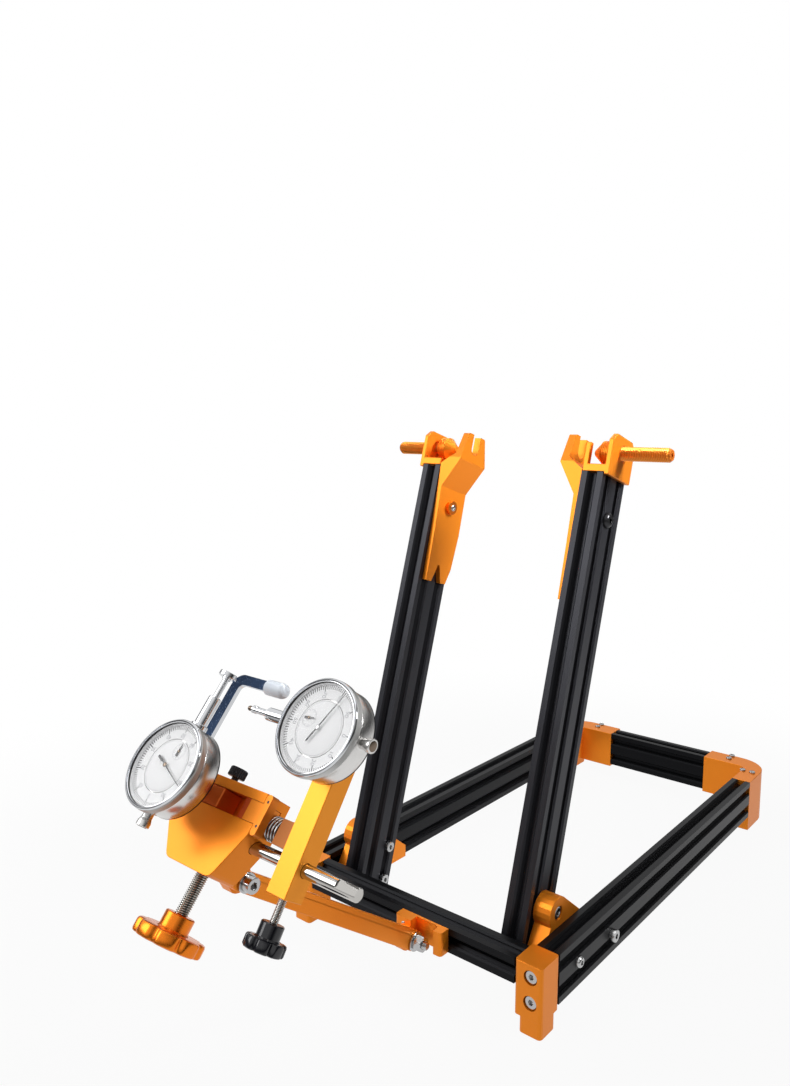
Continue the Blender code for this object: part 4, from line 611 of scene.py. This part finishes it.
# silver screws of the base: blocks, brackets, uprights and side bars
socketScrew = (5, 5, 4, 3)
smallScrew = (3.2, 1.9, 2.2, 1.8)
wideScrew = (4.6, 3.2, 3.4, 2.5)
blockScrews = {"out": 121.3, "front": -155.2, "high": 46, "low": 26}
rearScrews = {"up": 56, "spots": ((87.3, 337.2), (87.3, 326.9), (112.6, 301.7), (123.6, 301.3))}
uprightScrews = {"out": 75, "high": (-96.6, 60.3), "low": (-103.8, 31.6)}
sideScrews = {"out": 131.3, "front": (-107.5, 36), "back": (-53.7, 32.5)}
bracketSpot = (105.5, -105.17, 66.95)
for side, sign in sides.items():
    for row in ("high", "low"):
        spot = (sign * blockScrews["out"], blockScrews["front"], blockScrews[row])
        capScrew(f"front_{side}_block_screw_{row}", socketScrew, aimed(standFrame, spot, forward))
    for index, (x, y) in enumerate(rearScrews["spots"]):
        place = aimed(standFrame, (sign * x, y, rearScrews["up"]), upward)
        capScrew(f"rear_{side}_block_screw_{index}", smallScrew, place)
    x, y, z = bracketSpot
    capScrew(side + "_bracket_screw", socketScrew, aimed(standFrame, (sign * x, y, z), (sign, 0, 0)))
    for row in ("high", "low"):
        place = aimed(standFrame, (sign * uprightScrews["out"], *uprightScrews[row]), (-sign, 0, 0))
        capScrew(f"{side}_upright_screw_{row}", wideScrew, place)
    place = aimed(standFrame, (sign * sideScrews["out"], *sideScrews["front"]), (sign, 0, 0))
    buttonScrew(side + "_side_bar_screw_front", wideScrew, place)
    place = aimed(standFrame, (sign * sideScrews["out"], *sideScrews["back"]), (sign, 0, 0))
    capScrew(side + "_side_bar_screw_back", socketScrew, place)
print("screws of the base made")


# bolts of the arm: both have their washer and then a nut or head on the arm's right side
def washerLevels(radius, hole, thickness):
    return [
        (hole, 0), (radius - 0.2, 0), (radius, 0.2),
        (radius, thickness - 0.2), (radius - 0.2, thickness), (hole, thickness),
    ]


boltWasher = {"at": 22.3, "hole": 3, "thickness": 1.5}
washerSpot = (boltWasher["at"], 0, 0)
afterWasher = (boltWasher["at"] + boltWasher["thickness"], 0, 0)

armBolt = {"left": 6.3, "radius": 3, "pitch": 1, "cut": 0.55, "from": 17, "to": 28.1, "washer": 7.5}
levels = [(2.4, 0), (armBolt["radius"], 0.4), (armBolt["radius"], armBolt["from"])]
levels += threadLevels(armBolt["radius"], armBolt["pitch"], armBolt["from"], armBolt["to"], armBolt["cut"])
levels += [(2.3, armBolt["to"] + 0.4)]
place = aimed(armFrame, (armBolt["left"], 0, 0), toRight)
addTurned("arm_bolt_thread", levels, 32, steel, place, "arm", ["arm_bolt"], 30)
levels = washerLevels(armBolt["washer"], boltWasher["hole"], boltWasher["thickness"])
place = aimed(armFrame, washerSpot, toRight)
addTurned("arm_bolt_washer", levels, 48, steel, place, "arm", ["arm_bolt"], closed=True)

armNut = {"across": 10.8, "corner": 5.75, "height": 7.5}
fullNut = hexagon(armNut["across"])
softNut = chamferedHexagon(armNut["across"], armNut["corner"])
high = armNut["height"]
levels = [(3, 0), (5.2, 0), (softNut, 0.35), (fullNut, 0.9), (fullNut, high - 0.9), (softNut, high - 0.35)]
levels += [(5.2, high), (3.3, high), (2.9, high - 0.5)]
place = aimed(armFrame, afterWasher, toRight)
addTurned("arm_bolt_nut", levels, 72, steel, place, "arm", ["arm_bolt"], 30, True)

tiltBolt = {"left": 4.3, "radius": 3, "length": 19.5, "washer": 6.5, "head": (5.2, 6, 4.4, 2.9)}
levels = [(2.4, 0), (tiltBolt["radius"], 0.5), (tiltBolt["radius"], tiltBolt["length"])]
place = aimed(tiltFrame, (tiltBolt["left"], 0, 0), toRight)
addTurned("tilt_bolt_shaft", levels, 32, steel, place, "arm", ["tilt_bolt"])
levels = washerLevels(tiltBolt["washer"], boltWasher["hole"], boltWasher["thickness"])
place = aimed(tiltFrame, washerSpot, toRight)
addTurned("tilt_bolt_washer", levels, 56, steel, place, "arm", ["tilt_bolt"], closed=True)
place = aimed(tiltFrame, afterWasher, toRight)
capScrew("tilt_bolt_head", tiltBolt["head"], place, "arm", ["tilt_bolt"])


# thumb screw on the head, with its straight knurl
thumb = {"x": 8, "stud": 2.2, "low": 42.1, "radius": 5.8, "ridges": 26, "cut": 0.55}
ridges = knurled(thumb["radius"], thumb["ridges"], thumb["cut"])
levels = [(thumb["stud"], thumb["low"]), (thumb["stud"], 50.6), (5.2, 50.8), (5.5, 51.1)]
levels += [(ridges, 51.3), (ridges, 56.2), (5.3, 56.8), (4.9, 57), (2.4, 57), (thumb["stud"], 56.3)]
place = shifted(headFrame, thumb["x"], rodLine["back"], 0)
name = "thumb_screw"
addTurned(name + "_turned", levels, 156, blackPlastic, place, name, [name], 30)


# side lever: a flat bar bent twice; its foot is narrower, so that it passes the head as the carriage slides
lever = {
    "left": -26.8, "foot": 6.3, "footTop": 51, "width": 8, "low": 29.7, "high": 112.4, "armWidth": 6.8,
    "armEnd": 4, "corner": 1, "outer": 9, "inner": 4, "back": -46.7, "depth": 3, "soft": 0.4,
}
left, low, high = lever["left"], lever["low"], lever["high"]
foot = left + lever["foot"]
inside = left + lever["width"]
under = high - lever["armWidth"]
loop = [(left, low, lever["corner"]), (foot, low, lever["corner"])]
loop += [(foot, lever["footTop"]), (inside, lever["footTop"] + 2)]
loop += [(inside, under, lever["inner"]), (lever["armEnd"], under)]
loop += [(lever["armEnd"], high), (left, high, lever["outer"])]
mesh = flatMesh("side_lever_mesh", [roundedLoop(loop, 12)], lever["depth"])
place = shifted(headFrame, 0, lever["back"], 0) @ Matrix.Rotation(math.radians(90), 4, "X")
leverPiece = addPiece("side_lever_bent", mesh, chrome, place, "carriage", ["side_lever"])
secondFinish(mesh, deepSteel, lambda face: abs(face.normal.z) > 0.9)
softEdges(leverPiece, lever["soft"])

# its soft milky tip, round at the end
leverTip = {"at": (4.3, -45.7, 109.25), "straight": 13.2, "core": 1.1, "round": 3.9, "dome": 4.25}
levels = [(1.5, 0), (4.2, 0), (4.7, 0.2), (5, 0.8), (5, leverTip["straight"])]
for step in range(1, 8):
    angle = math.pi / 2 * step / 8
    reach = leverTip["core"] + leverTip["round"] * math.cos(angle)
    levels.append((reach, leverTip["straight"] + leverTip["dome"] * math.sin(angle)))
place = aimed(headFrame, leverTip["at"], toRight)
addTurned("lever_tip_moulded", levels, 40, milky, place, "carriage", ["lever_tip"])


# guide rod with the flat milled at its free end
rod = {"left": 6, "right": 134, "radius": 4, "flat": 14, "level": 2.8}
length = rod["right"] - rod["left"]
milled = flatCut(rod["radius"], rod["level"])
levels = [(3.5, 0), (rod["radius"], 0.5), (rod["radius"], length - rod["flat"] - 0.4)]
levels += [(milled, length - rod["flat"]), (milled, length - 0.6), (flatCut(3.4, rod["level"]), length)]
# the flat looks forward and a little up the head
rodTurn = Matrix(((0, 0, 1), (0.939, 0.344, 0), (-0.344, 0.939, 0))).to_4x4()
place = shifted(headFrame, rod["left"], rodLine["back"], rodLine["up"]) @ rodTurn
addTurned("guide_rod_plated", levels, 64, rodSteel, place, "head", ["guide_rod"], 30)
print("arm, lever and rod made")


# clamp screw with its orange knob, post stud with its black knob
def knobLevels(size):
    # from the rounded underside of the grip up to the boss
    grip = lobed(size["grip"], size["lobes"], size["depth"])
    top = size["top"]
    high = top - size["boss"]
    low = high - size["height"]
    soft = size["round"]

    def inset(amount):
        return lambda angle: grip(angle) - amount

    return [
        (size["hole"] + 0.5, low),
        (size["bossRadius"], low),
        (inset(soft), low),
        (inset(soft * 0.3), low + soft * 0.3),
        (grip, low + soft),
        (grip, high - soft),
        (inset(soft * 0.3), high - soft * 0.3),
        (inset(soft), high),
        (size["bossRadius"] + 0.8, high),
        (size["bossRadius"], high + 0.8),
        (size["bossRadius"], top - 0.6),
        (size["bossRadius"] - 0.6, top),
        (size["hole"], top),
    ]


clamp = {"x": 22.5, "radius": 4.2, "pitch": 1.25, "cut": 0.85, "end": 3.5, "low": -38.9, "high": 14.5}
clampKnob = {
    "lobes": 8, "top": -30, "boss": 9.2, "bossRadius": 9.1, "grip": 21.3, "height": 8.2,
    "depth": 2, "hole": 4.2, "round": 1.6,
}
start, end = clamp["low"] + 0.6, clamp["high"] - 1
levels = [(clamp["end"], clamp["low"])]
levels += threadLevels(clamp["radius"], clamp["pitch"], start, end, clamp["cut"])
levels += [(clamp["end"], clamp["high"] - 0.2), (2.8, clamp["high"])]
place = shifted(headFrame, clamp["x"], rodLine["back"], 0)
name = "clamp_screw"
addTurned(name + "_threaded", levels, 40, clampThread, place, name, [name], 30)
name = "clamp_knob"
addTurned(name + "_turned", knobLevels(clampKnob), 192, orangeGloss, place, name, [name], 34)

stud = {"x": 86.25, "radius": 2.5, "pitch": 0.8, "cut": 0.4, "end": 2, "low": -38.6, "high": -4.3}
postKnob = {
    "lobes": 7, "top": -30.5, "boss": 8.4, "bossRadius": 6.9, "grip": 12, "height": 6.8,
    "depth": 1.8, "hole": 2.5, "round": 1.2,
}
start, end = stud["low"] + 0.4, stud["high"] - 0.7
levels = [(stud["end"], stud["low"])]
levels += threadLevels(stud["radius"], stud["pitch"], start, end, stud["cut"])
levels += [(stud["end"], stud["high"] - 0.1), (1.5, stud["high"])]
place = shifted(postFrame, stud["x"], 0, 0)
name = "post_stud"
addTurned(name + "_threaded", levels, 32, studThread, place, name, [name], 30)
name = "post_knob"
addTurned(name + "_moulded", knobLevels(postKnob), 168, blackGloss, place, name, [name], 34)

# spring between the head and the post
spring = {"start": 54.4, "climb": 10.1, "turns": 4, "radius": 6.9, "wire": 0.8, "y": -34.7, "z": 32.4}
curve = bpy.data.curves.new("spring_curve", "CURVE")
curve.dimensions = "3D"
curve.bevel_depth = spring["wire"] * mm
curve.bevel_resolution = 4
curve.use_fill_caps = True
steps = spring["turns"] * 32
path = curve.splines.new("POLY")
path.points.add(steps)
for index, point in enumerate(path.points):
    angle = 2 * math.pi * spring["turns"] * index / steps
    along = spring["start"] + spring["climb"] * index / steps
    spot = (along, spring["radius"] * math.sin(angle), spring["radius"] * math.cos(angle))
    point.co = (*inMetres(spot), 1)
place = shifted(headFrame, 0, spring["y"], spring["z"])
mesh = fromCurve("coil_spring_mesh", curve)
addPiece("coil_spring_wound", mesh, steel, place, "head", ["coil_spring"], 50)
print("knobs and spring made")


# marks on the dials
def joinedMesh(name, parts):
    # several meshes, each with its own place, as one
    shape = bmesh.new()
    for mesh, place in parts:
        first = len(shape.verts)
        shape.from_mesh(mesh)
        shape.verts.ensure_lookup_table()
        bmesh.ops.transform(shape, matrix=place, verts=shape.verts[first:])
    whole = bpy.data.meshes.new(name)
    shape.to_mesh(whole)
    shape.free()
    return whole


def circleLoop(radius, steps=96):
    return [(x, y) for x, y, z in ringAt(radius, 0, steps)]


def tickPlates(name, count, every, inner, outer, shorter, width):
    # tick marks on a dial, from its +Y round; every so many ones reach farther in
    shape = bmesh.new()
    for index in range(count):
        start = inner if index % every == 0 else shorter
        wide = width if index % every == 0 else width * 0.7
        turn = Matrix.Rotation(-2 * math.pi * index / count, 3, "Z")
        corners = []
        for height in (0, inkHeight):
            for x, y in ((-wide / 2, start), (wide / 2, start), (wide / 2, outer), (-wide / 2, outer)):
                corners.append(shape.verts.new(turn @ Vector(inMetres((x, y, height)))))
        for face in ((3, 2, 1, 0), (4, 5, 6, 7), (0, 1, 5, 4), (1, 2, 6, 5), (2, 3, 7, 6), (3, 0, 4, 7)):
            shape.faces.new([corners[vertex] for vertex in face])
    mesh = bpy.data.meshes.new(name)
    shape.to_mesh(mesh)
    shape.free()
    return mesh


def numberMesh(text, height):
    letters = bpy.data.curves.new("number_" + text, "FONT")
    letters.body = text
    letters.size = height * mm
    letters.align_x = "CENTER"
    letters.align_y = "CENTER"
    letters.extrude = inkHeight * mm
    return fromCurve("number_mesh_" + text, letters)


def pointerLoop(length, tail, width, tailWidth):
    # a slim pointer along +Y with its thicker counterweight behind the hub
    right = [
        (width * 0.16, length * 0.92), (width / 2, 0), (width / 2, -tail * 0.3),
        (tailWidth / 2, -tail * 0.42), (tailWidth / 2, -tail * 0.9),
    ]
    left = [(-x, y) for x, y in reversed(right)]
    return left[3:] + [(0, length)] + right + [(0, -tail)] + left[:3]


def faceTurn(stem, degrees):
    # a pointer's own +Y lies at the stem's +Z, turned towards +X
    angle = math.radians(degrees)
    along = stem.to_3x3() @ Vector((math.sin(angle), 0, math.cos(angle)))
    out = stem.to_3x3() @ Vector((0, -1, 0))
    return Matrix((along.cross(out), along, out)).transposed().to_4x4()


# dial gauges: their own frame has Z along the stem to the contact point and the face towards -Y
inkHeight = 0.03
ballTip = [(2.3, 59), (2.3, 62), (1.2, 63.4)]
for step in range(1, 10):
    angle = math.radians(-40 + 128 * step / 9)
    ballTip.append((1.6 * math.cos(angle), 65.1 + 1.6 * math.sin(angle)))
flatAnvil = [(2, 60.4), (2.7, 60.6), (2.7, 61.9), (5.5, 62), (5.8, 62.3), (5.8, 64.7), (5.5, 65), (2, 65)]
gauges = {
    "radial": {
        "frame": shifted(headFrame, -1.5, -74.7, 38),
        "body": "carriage", "back": -24.7, "turn": 112, "small": 4, "tail": 1.6,
        "hub": brownSteel, "point": flatAnvil,
    },
    "lateral": {
        "frame": shifted(postFrame, 92, -26.6, 71.6) @ Matrix.Rotation(math.radians(-90), 4, "Y"),
        "body": "post", "back": -18.8, "turn": 115, "small": 173, "tail": 0.95,
        "hub": steel, "point": ballTip,
    },
}
dial = {"numbers": 10, "numberReach": 19.2, "numberHeight": 3.9, "smallX": 3.9, "smallZ": 9.8, "face": 6.8}
pointer = {"length": 23, "tail": 10, "width": 0.7, "thick": 0.35, "height": 8.325}
smallPointer = {"length": 4.7, "tail": 3.2, "width": 1.1, "tailWidth": 1.3, "thick": 0.3, "height": 7.45}
window = {"radius": 25.6, "low": 9.05, "edge": 9.35, "high": 9.4, "dome": 0.9, "rings": 8}

# the gauges' outlines from the inner back round the outside to the inner front
band = knurled(28.2, 170, 0.5)
outlines = {
    "case": [
        (8, -9), (24.4, -9), (24.6, -8.7), (25.2, -8.7), (25.4, -9), (25.9, -9), (26.7, -8.6), (27, -7.9),
        (27, 3.2), (26.6, 3.9), (25.8, 4.2), (24.2, 4.2), (24.2, 5.8),
    ],
    "sleeve": [(2.1, 26.5), (5.4, 26.5), (5.4, 29.2), (5, 29.6), (4, 29.8), (4, 47.4), (3.5, 48), (2.1, 48)],
    "gasket": [(25.6, -9), (26.8, -9), (27, -8.8), (27, -8.1), (26.6, -8)],
    "cap": [
        (3.7, -35.5), (4.1, -35.1), (4.1, -32.6), (3.6, -31.2),
        (3.2, -30.2), (3.2, -27.3), (4.4, -27), (4.4, -26),
    ],
    "capEnd": [(2.4, -35.8), (3, -35.6), (3.1, -35.3)],
    "band": [
        (25.9, 4.5), (27.4, 4.5), (27.7, 4.8), (band, 5.1),
        (band, 8.4), (27.6, 8.7), (27.2, 8.8), (25.9, 8.8),
    ],
    "lip": [
        (25.9, 8.75), (27.1, 8.75), (27.1, 9.05), (27.8, 9.15), (28, 9.5), (27.9, 10.1), (27.5, 10.6),
        (27.1, 10.75), (26.8, 10.6), (26.7, 10), (26.4, 10), (26.3, 10.4), (26, 10.45), (25.8, 10.2),
        (25.75, 9.8), (25.6, 9.75), (25.6, 9.4),
    ],
    "window": [(window["radius"] - 0.1, window["low"]), (window["radius"], window["edge"])],
    "scale": [
        (16.7, 6.15), (25.6, 6.15), (25.6, 8.95), (25.25, 8.95), (25.05, 6.8), (16.8, 6.8), (16.7, 6.7),
    ],
    "dial": [(8, 6.2), (16.2, 6.2), (16.3, 6.35), (16.3, 6.75), (16.2, 6.8), (8, 6.8)],
    "hub": [(1.1, -0.35), (1.35, -0.3), (1.35, 0.2), (1.1, 0.35), (0.5, 0.38)],
    "smallHub": [(0.7, -0.3), (0.9, -0.25), (0.9, 0.15), (0.6, 0.3)],
    "spindle": [(1.6, 26.9), (2, 27.1), (2, 58.8)],
}
for step in range(1, window["rings"] + 1):
    share = 1 - step / (window["rings"] + 0.2)
    outlines["window"].append((window["radius"] * share, window["high"] + window["dome"] * (1 - share**2)))


def grooveShadeFaces(face):
    # the lip's two grooves, inside its crest and below it, get painted shade
    return face.center.xy.length < 27.4 * mm and face.center.z < 10.1 * mm


for which, gauge in gauges.items():
    # outward has Z out of the face, and +Y along the stem
    prefix = which + "_gauge_"
    stem = gauge["frame"]
    outward = stem @ Matrix.Rotation(math.radians(90), 4, "X")
    body = gauge["body"]
    bezel, needle, smallNeedle, spindle = [
        prefix + part for part in ("bezel", "needle", "small_needle", "spindle")
    ]
    stands = [prefix + "case"]

    # case with a recessed back and its lug, and the sleeve that holds the spindle
    levels = [(7.6, gauge["back"]), (8, gauge["back"] + 0.4)] + outlines["case"]
    addTurned(prefix + "case_turned", levels, 128, silver, outward, body, stands, 30)
    levels = outlines["sleeve"]
    addTurned(prefix + "sleeve_turned", levels, 56, chrome, stem, body, stands, 30, True)
    levels = outlines["gasket"]
    name = prefix + "back_gasket"
    addTurned(name, levels, 128, blackPlastic, outward, body, stands, closed=True)

    # cap of the spindle's other end, flared, with a dark end
    stands = [prefix + "cap"]
    addTurned(prefix + "cap_turned", outlines["cap"], 48, silver, stem, body, stands, 30)
    addTurned(prefix + "cap_end", outlines["capEnd"], 40, brownSteel, stem, body, stands)

    # bezel: band of fine straight ridges under a polished lip, with painted shade in its two grooves
    stands = [bezel]
    addTurned(bezel + "_band", outlines["band"], 680, satin, outward, bezel, stands, 30, True)
    lip = addTurned(bezel + "_lip", outlines["lip"], 160, chrome, outward, bezel, stands, 30, True)
    # painted shade in the lip's two grooves
    secondFinish(lip, darkSteelAndGrooveShade, grooveShadeFaces)

    # window, slightly domed
    stands = [prefix + "crystal"]
    addTurned(prefix + "crystal_domed", outlines["window"], 96, clear, outward, bezel, stands, 40)

    # turning scale: a white ring with ticks and numbers, whose zero lies towards the gauge's cap
    levels = outlines["scale"]
    stands = [prefix + "scale"]
    addTurned(prefix + "scale_ring", levels, 128, dialWhite, outward, bezel, stands, closed=True)
    face = shifted(outward, 0, 0, dial["face"]) @ Matrix.Rotation(math.pi, 4, "Z")
    ticks = tickPlates(prefix + "ticks_mesh", 100, 10, 21.2, 24.9, 22.5, 0.55)
    addPiece(prefix + "scale_ticks", ticks, inkDark, face, bezel, sharp=20)
    places = []
    for index in range(dial["numbers"]):
        angle = 2 * math.pi * index / dial["numbers"]
        reach = dial["numberReach"]
        spot = shifted(Matrix(), reach * math.sin(angle), reach * math.cos(angle), inkHeight)
        text = str(100 // dial["numbers"] * index)
        places.append((numberMesh(text, dial["numberHeight"]), spot))
    numbers = joinedMesh(prefix + "numbers_mesh", places)
    addPiece(prefix + "scale_numbers", numbers, inkPale, face, bezel, sharp=20)

    # inner dial with its two thin circles and the small dial's ticks
    stands = [prefix + "dial"]
    addTurned(prefix + "dial_plate", outlines["dial"], 128, dialWhite, outward, body, stands)
    smallSpot = shifted(Matrix(), -dial["smallX"], -dial["smallZ"], 0)
    plates = [
        (flatMesh("dial_circle", [circleLoop(15.55), circleLoop(15.38)], 2 * inkHeight), Matrix()),
        (flatMesh("small_circle", [circleLoop(5.1, 64), circleLoop(4.95, 64)], 2 * inkHeight), smallSpot),
        (tickPlates("small_ticks", 20, 2, 3.7, 4.95, 4.4, 0.24), smallSpot),
    ]
    lines = joinedMesh(prefix + "lines_mesh", plates)
    addPiece(prefix + "dial_lines", lines, inkPale, face, body, sharp=20)

    # pointers
    place = shifted(stem, 0, -pointer["height"], 0).translation
    place = Matrix.Translation(place) @ faceTurn(stem, gauge["turn"])
    loop = pointerLoop(pointer["length"], pointer["tail"], pointer["width"], gauge["tail"])
    mesh = flatMesh(needle + "_mesh", [loop], pointer["thick"])
    addPiece(needle + "_blade", mesh, needleBlack, place, needle, [needle])
    addTurned(needle + "_hub", outlines["hub"], 40, gauge["hub"], place, needle, [needle])
    place = shifted(stem, dial["smallX"], -smallPointer["height"], dial["smallZ"]).translation
    place = Matrix.Translation(place) @ faceTurn(stem, gauge["small"])
    loop = pointerLoop(*[smallPointer[key] for key in ("length", "tail", "width", "tailWidth")])
    mesh = flatMesh(smallNeedle + "_mesh", [loop], smallPointer["thick"])
    addPiece(smallNeedle + "_blade", mesh, needleBlack, place, smallNeedle, [smallNeedle])
    levels = outlines["smallHub"]
    addTurned(smallNeedle + "_hub", levels, 32, brownSteel, place, smallNeedle, [smallNeedle])

    # spindle with its contact point, which is browned on the lateral gauge
    levels = outlines["spindle"] + gauge["point"]
    mesh = addTurned(spindle + "_turned", levels, 56, chrome, stem, spindle, [spindle], 30)
    if which == "lateral":
        secondFinish(mesh, brownSteel, lambda face: face.center.z > 62.1 * mm)
print("gauges made")


# small pins and a small screw on the head and pivot block
stopPins = {"x": 56.2, "front": -49.7, "up": (43.5, 29)}
for index, up in enumerate(stopPins["up"]):
    place = aimed(headFrame, (stopPins["x"], stopPins["front"], up), forward)
    levels = [(0.7, -0.5), (0.9, -0.4), (0.9, 0.03), (0.7, 0.06), (0.2, 0.06)]
    addTurned(f"stop_pin_{index}", levels, 32, darkSteelAndGrooveShade, place, "head")
place = aimed(standFrame, (8, -170.8, 51), forward)
buttonScrew("pivot_block_screw", (1.7, 0.9, 1.1, 1), place)


# floor that is white to the camera and keeps the stand's shadow, and soft studio light
def whiteToEye(finish):
    path = finish.tree.nodes.new("ShaderNodeLightPath")
    camera = Wire(finish, path.outputs["Is Camera Ray"])
    through = Wire(finish, path.outputs["Is Transmission Ray"])
    glossy = Wire(finish, path.outputs["Is Glossy Ray"])
    seen = finish.node("ShaderNodeMath", {"operation": "MAXIMUM"}, {0: camera, 1: through})
    return seen, glossy


half = 6000
floorLoop = [(-half, -half), (half, -half), (half, half), (-half, half)]
floorMesh = flatMesh("floor_mesh", [floorLoop], 1)
floor = bpy.data.objects.new("studio_floor", floorMesh)
scene.collection.objects.link(floor)
floor.location = (0, 0, -0.0006)
floorFinish = Finish("studio_floor_white")
paper = floorFinish.grain((0.004, 0.004, 0.004))
floorSockets = {"Base Color": (0.35, 0.35, 0.35, 1), "Roughness": 1, "Specular IOR Level": 0}
floorFinish.fill(floorFinish.shader, floorSockets)
floorFinish.fill(floorFinish.shader, {"Normal": floorFinish.bump(paper, 0.02, 0.0001)})
glow = floorFinish.node("ShaderNodeEmission", {}, {"Color": (1, 1, 1, 1), "Strength": 1})
both = floorFinish.tree.nodes.new("ShaderNodeMixShader")
floorFinish.tree.links.new(floorFinish.shader.outputs[0], both.inputs[1])
# its shadows fade into plain white away from the stand, and shiny parts see it dim far off
across, along = floorFinish.parts()[:2]
reach = (across * across + along * along) ** 0.5
shade = floorFinish.ramp(reach, 0.35, 0.85, 0.06, 0)
seen, glossy = whiteToEye(floorFinish)
mirrored = glossy * floorFinish.ramp(reach, 0.6, 1.8, 0.85, 0.15)
white = floorFinish.node("ShaderNodeMath", {"operation": "MAXIMUM"}, {0: (1 - shade) * seen, 1: mirrored})
floorFinish.fill(both, {0: white, 2: glow})
output = floorFinish.tree.nodes["Material Output"]
floorFinish.tree.links.new(both.outputs[0], output.inputs["Surface"])
floorMesh.materials.append(floorFinish.material)

world = bpy.data.worlds.new("studio")
scene.world = world
world.use_nodes = True


class Sky(Finish):
    # the world's own node tree, with the same helpers as a material
    def __init__(self, world):
        self.tree = world.node_tree
        self.shader = self.tree.nodes["Background"]


sky = Sky(world)
# shiny parts see a bright studio dim round its horizon and to the right
seen, glossy = whiteToEye(sky)
x, y, z = sky.parts(0)
studio = sky.ramp(z, 0.1, 0.42, 0.1, 1) * sky.ramp(x + 0.3 * y, 0.1, 0.8, 1, 0.2)
ambient = sky.ramp(z, -0.1, 0.6, 0.16, 0.46)
unseen = glossy * studio + (1 - glossy) * ambient
sky.fill(sky.shader, {"Color": (1, 1, 1, 1), "Strength": seen + (1 - seen) * unseen})


def lamp(name, place, target, power, size, spread=180):
    data = bpy.data.lights.new(name, "AREA")
    data.energy = power
    data.size = size
    data.spread = math.radians(spread)
    holder = bpy.data.objects.new(name, data)
    scene.collection.objects.link(holder)
    holder.location = place
    holder.rotation_euler = (Vector(target) - Vector(place)).to_track_quat("-Z", "Y").to_euler()


middle = (0, 0.08, 0.2)
lamp("key_light", (-1.1, -1.5, 1.3), middle, 19, 1.2)
lamp("fill_light", (1.3, -1.3, 1), middle, 1, 1.2)
lamp("side_light", (0.7, 0.25, 0.8), (-0.02, 0.05, 0.4), 1.4, 0.25, 50)
lamp("top_light", (0.1, 0.1, 1.9), middle, 8, 1.6)

# the camera stands where the photographer stood
cameraData = bpy.data.cameras.new("photo_camera")
cameraData.sensor_width = 36
cameraData.lens = 28.86
cameraData.shift_x = -0.0523
cameraData.shift_y = -0.0033
cameraData.clip_start = 0.01
camera = bpy.data.objects.new("photo_camera", cameraData)
scene.collection.objects.link(camera)
cameraSides = Matrix((
    (0.79027, 0.61266, 0.01077),
    (-0.08544, 0.09277, 0.99201),
    (0.60677, -0.78488, 0.12566),
))
cameraSpot = Vector((0.43259, mountPlace["wheel_axle"].y - 0.66266, 0.4410))
camera.matrix_world = Matrix.Translation(cameraSpot) @ cameraSides.transposed().to_4x4()
scene.camera = camera
scene.view_settings.view_transform = "Standard"
print("floor, light and camera made")

bpy.context.view_layer.update()
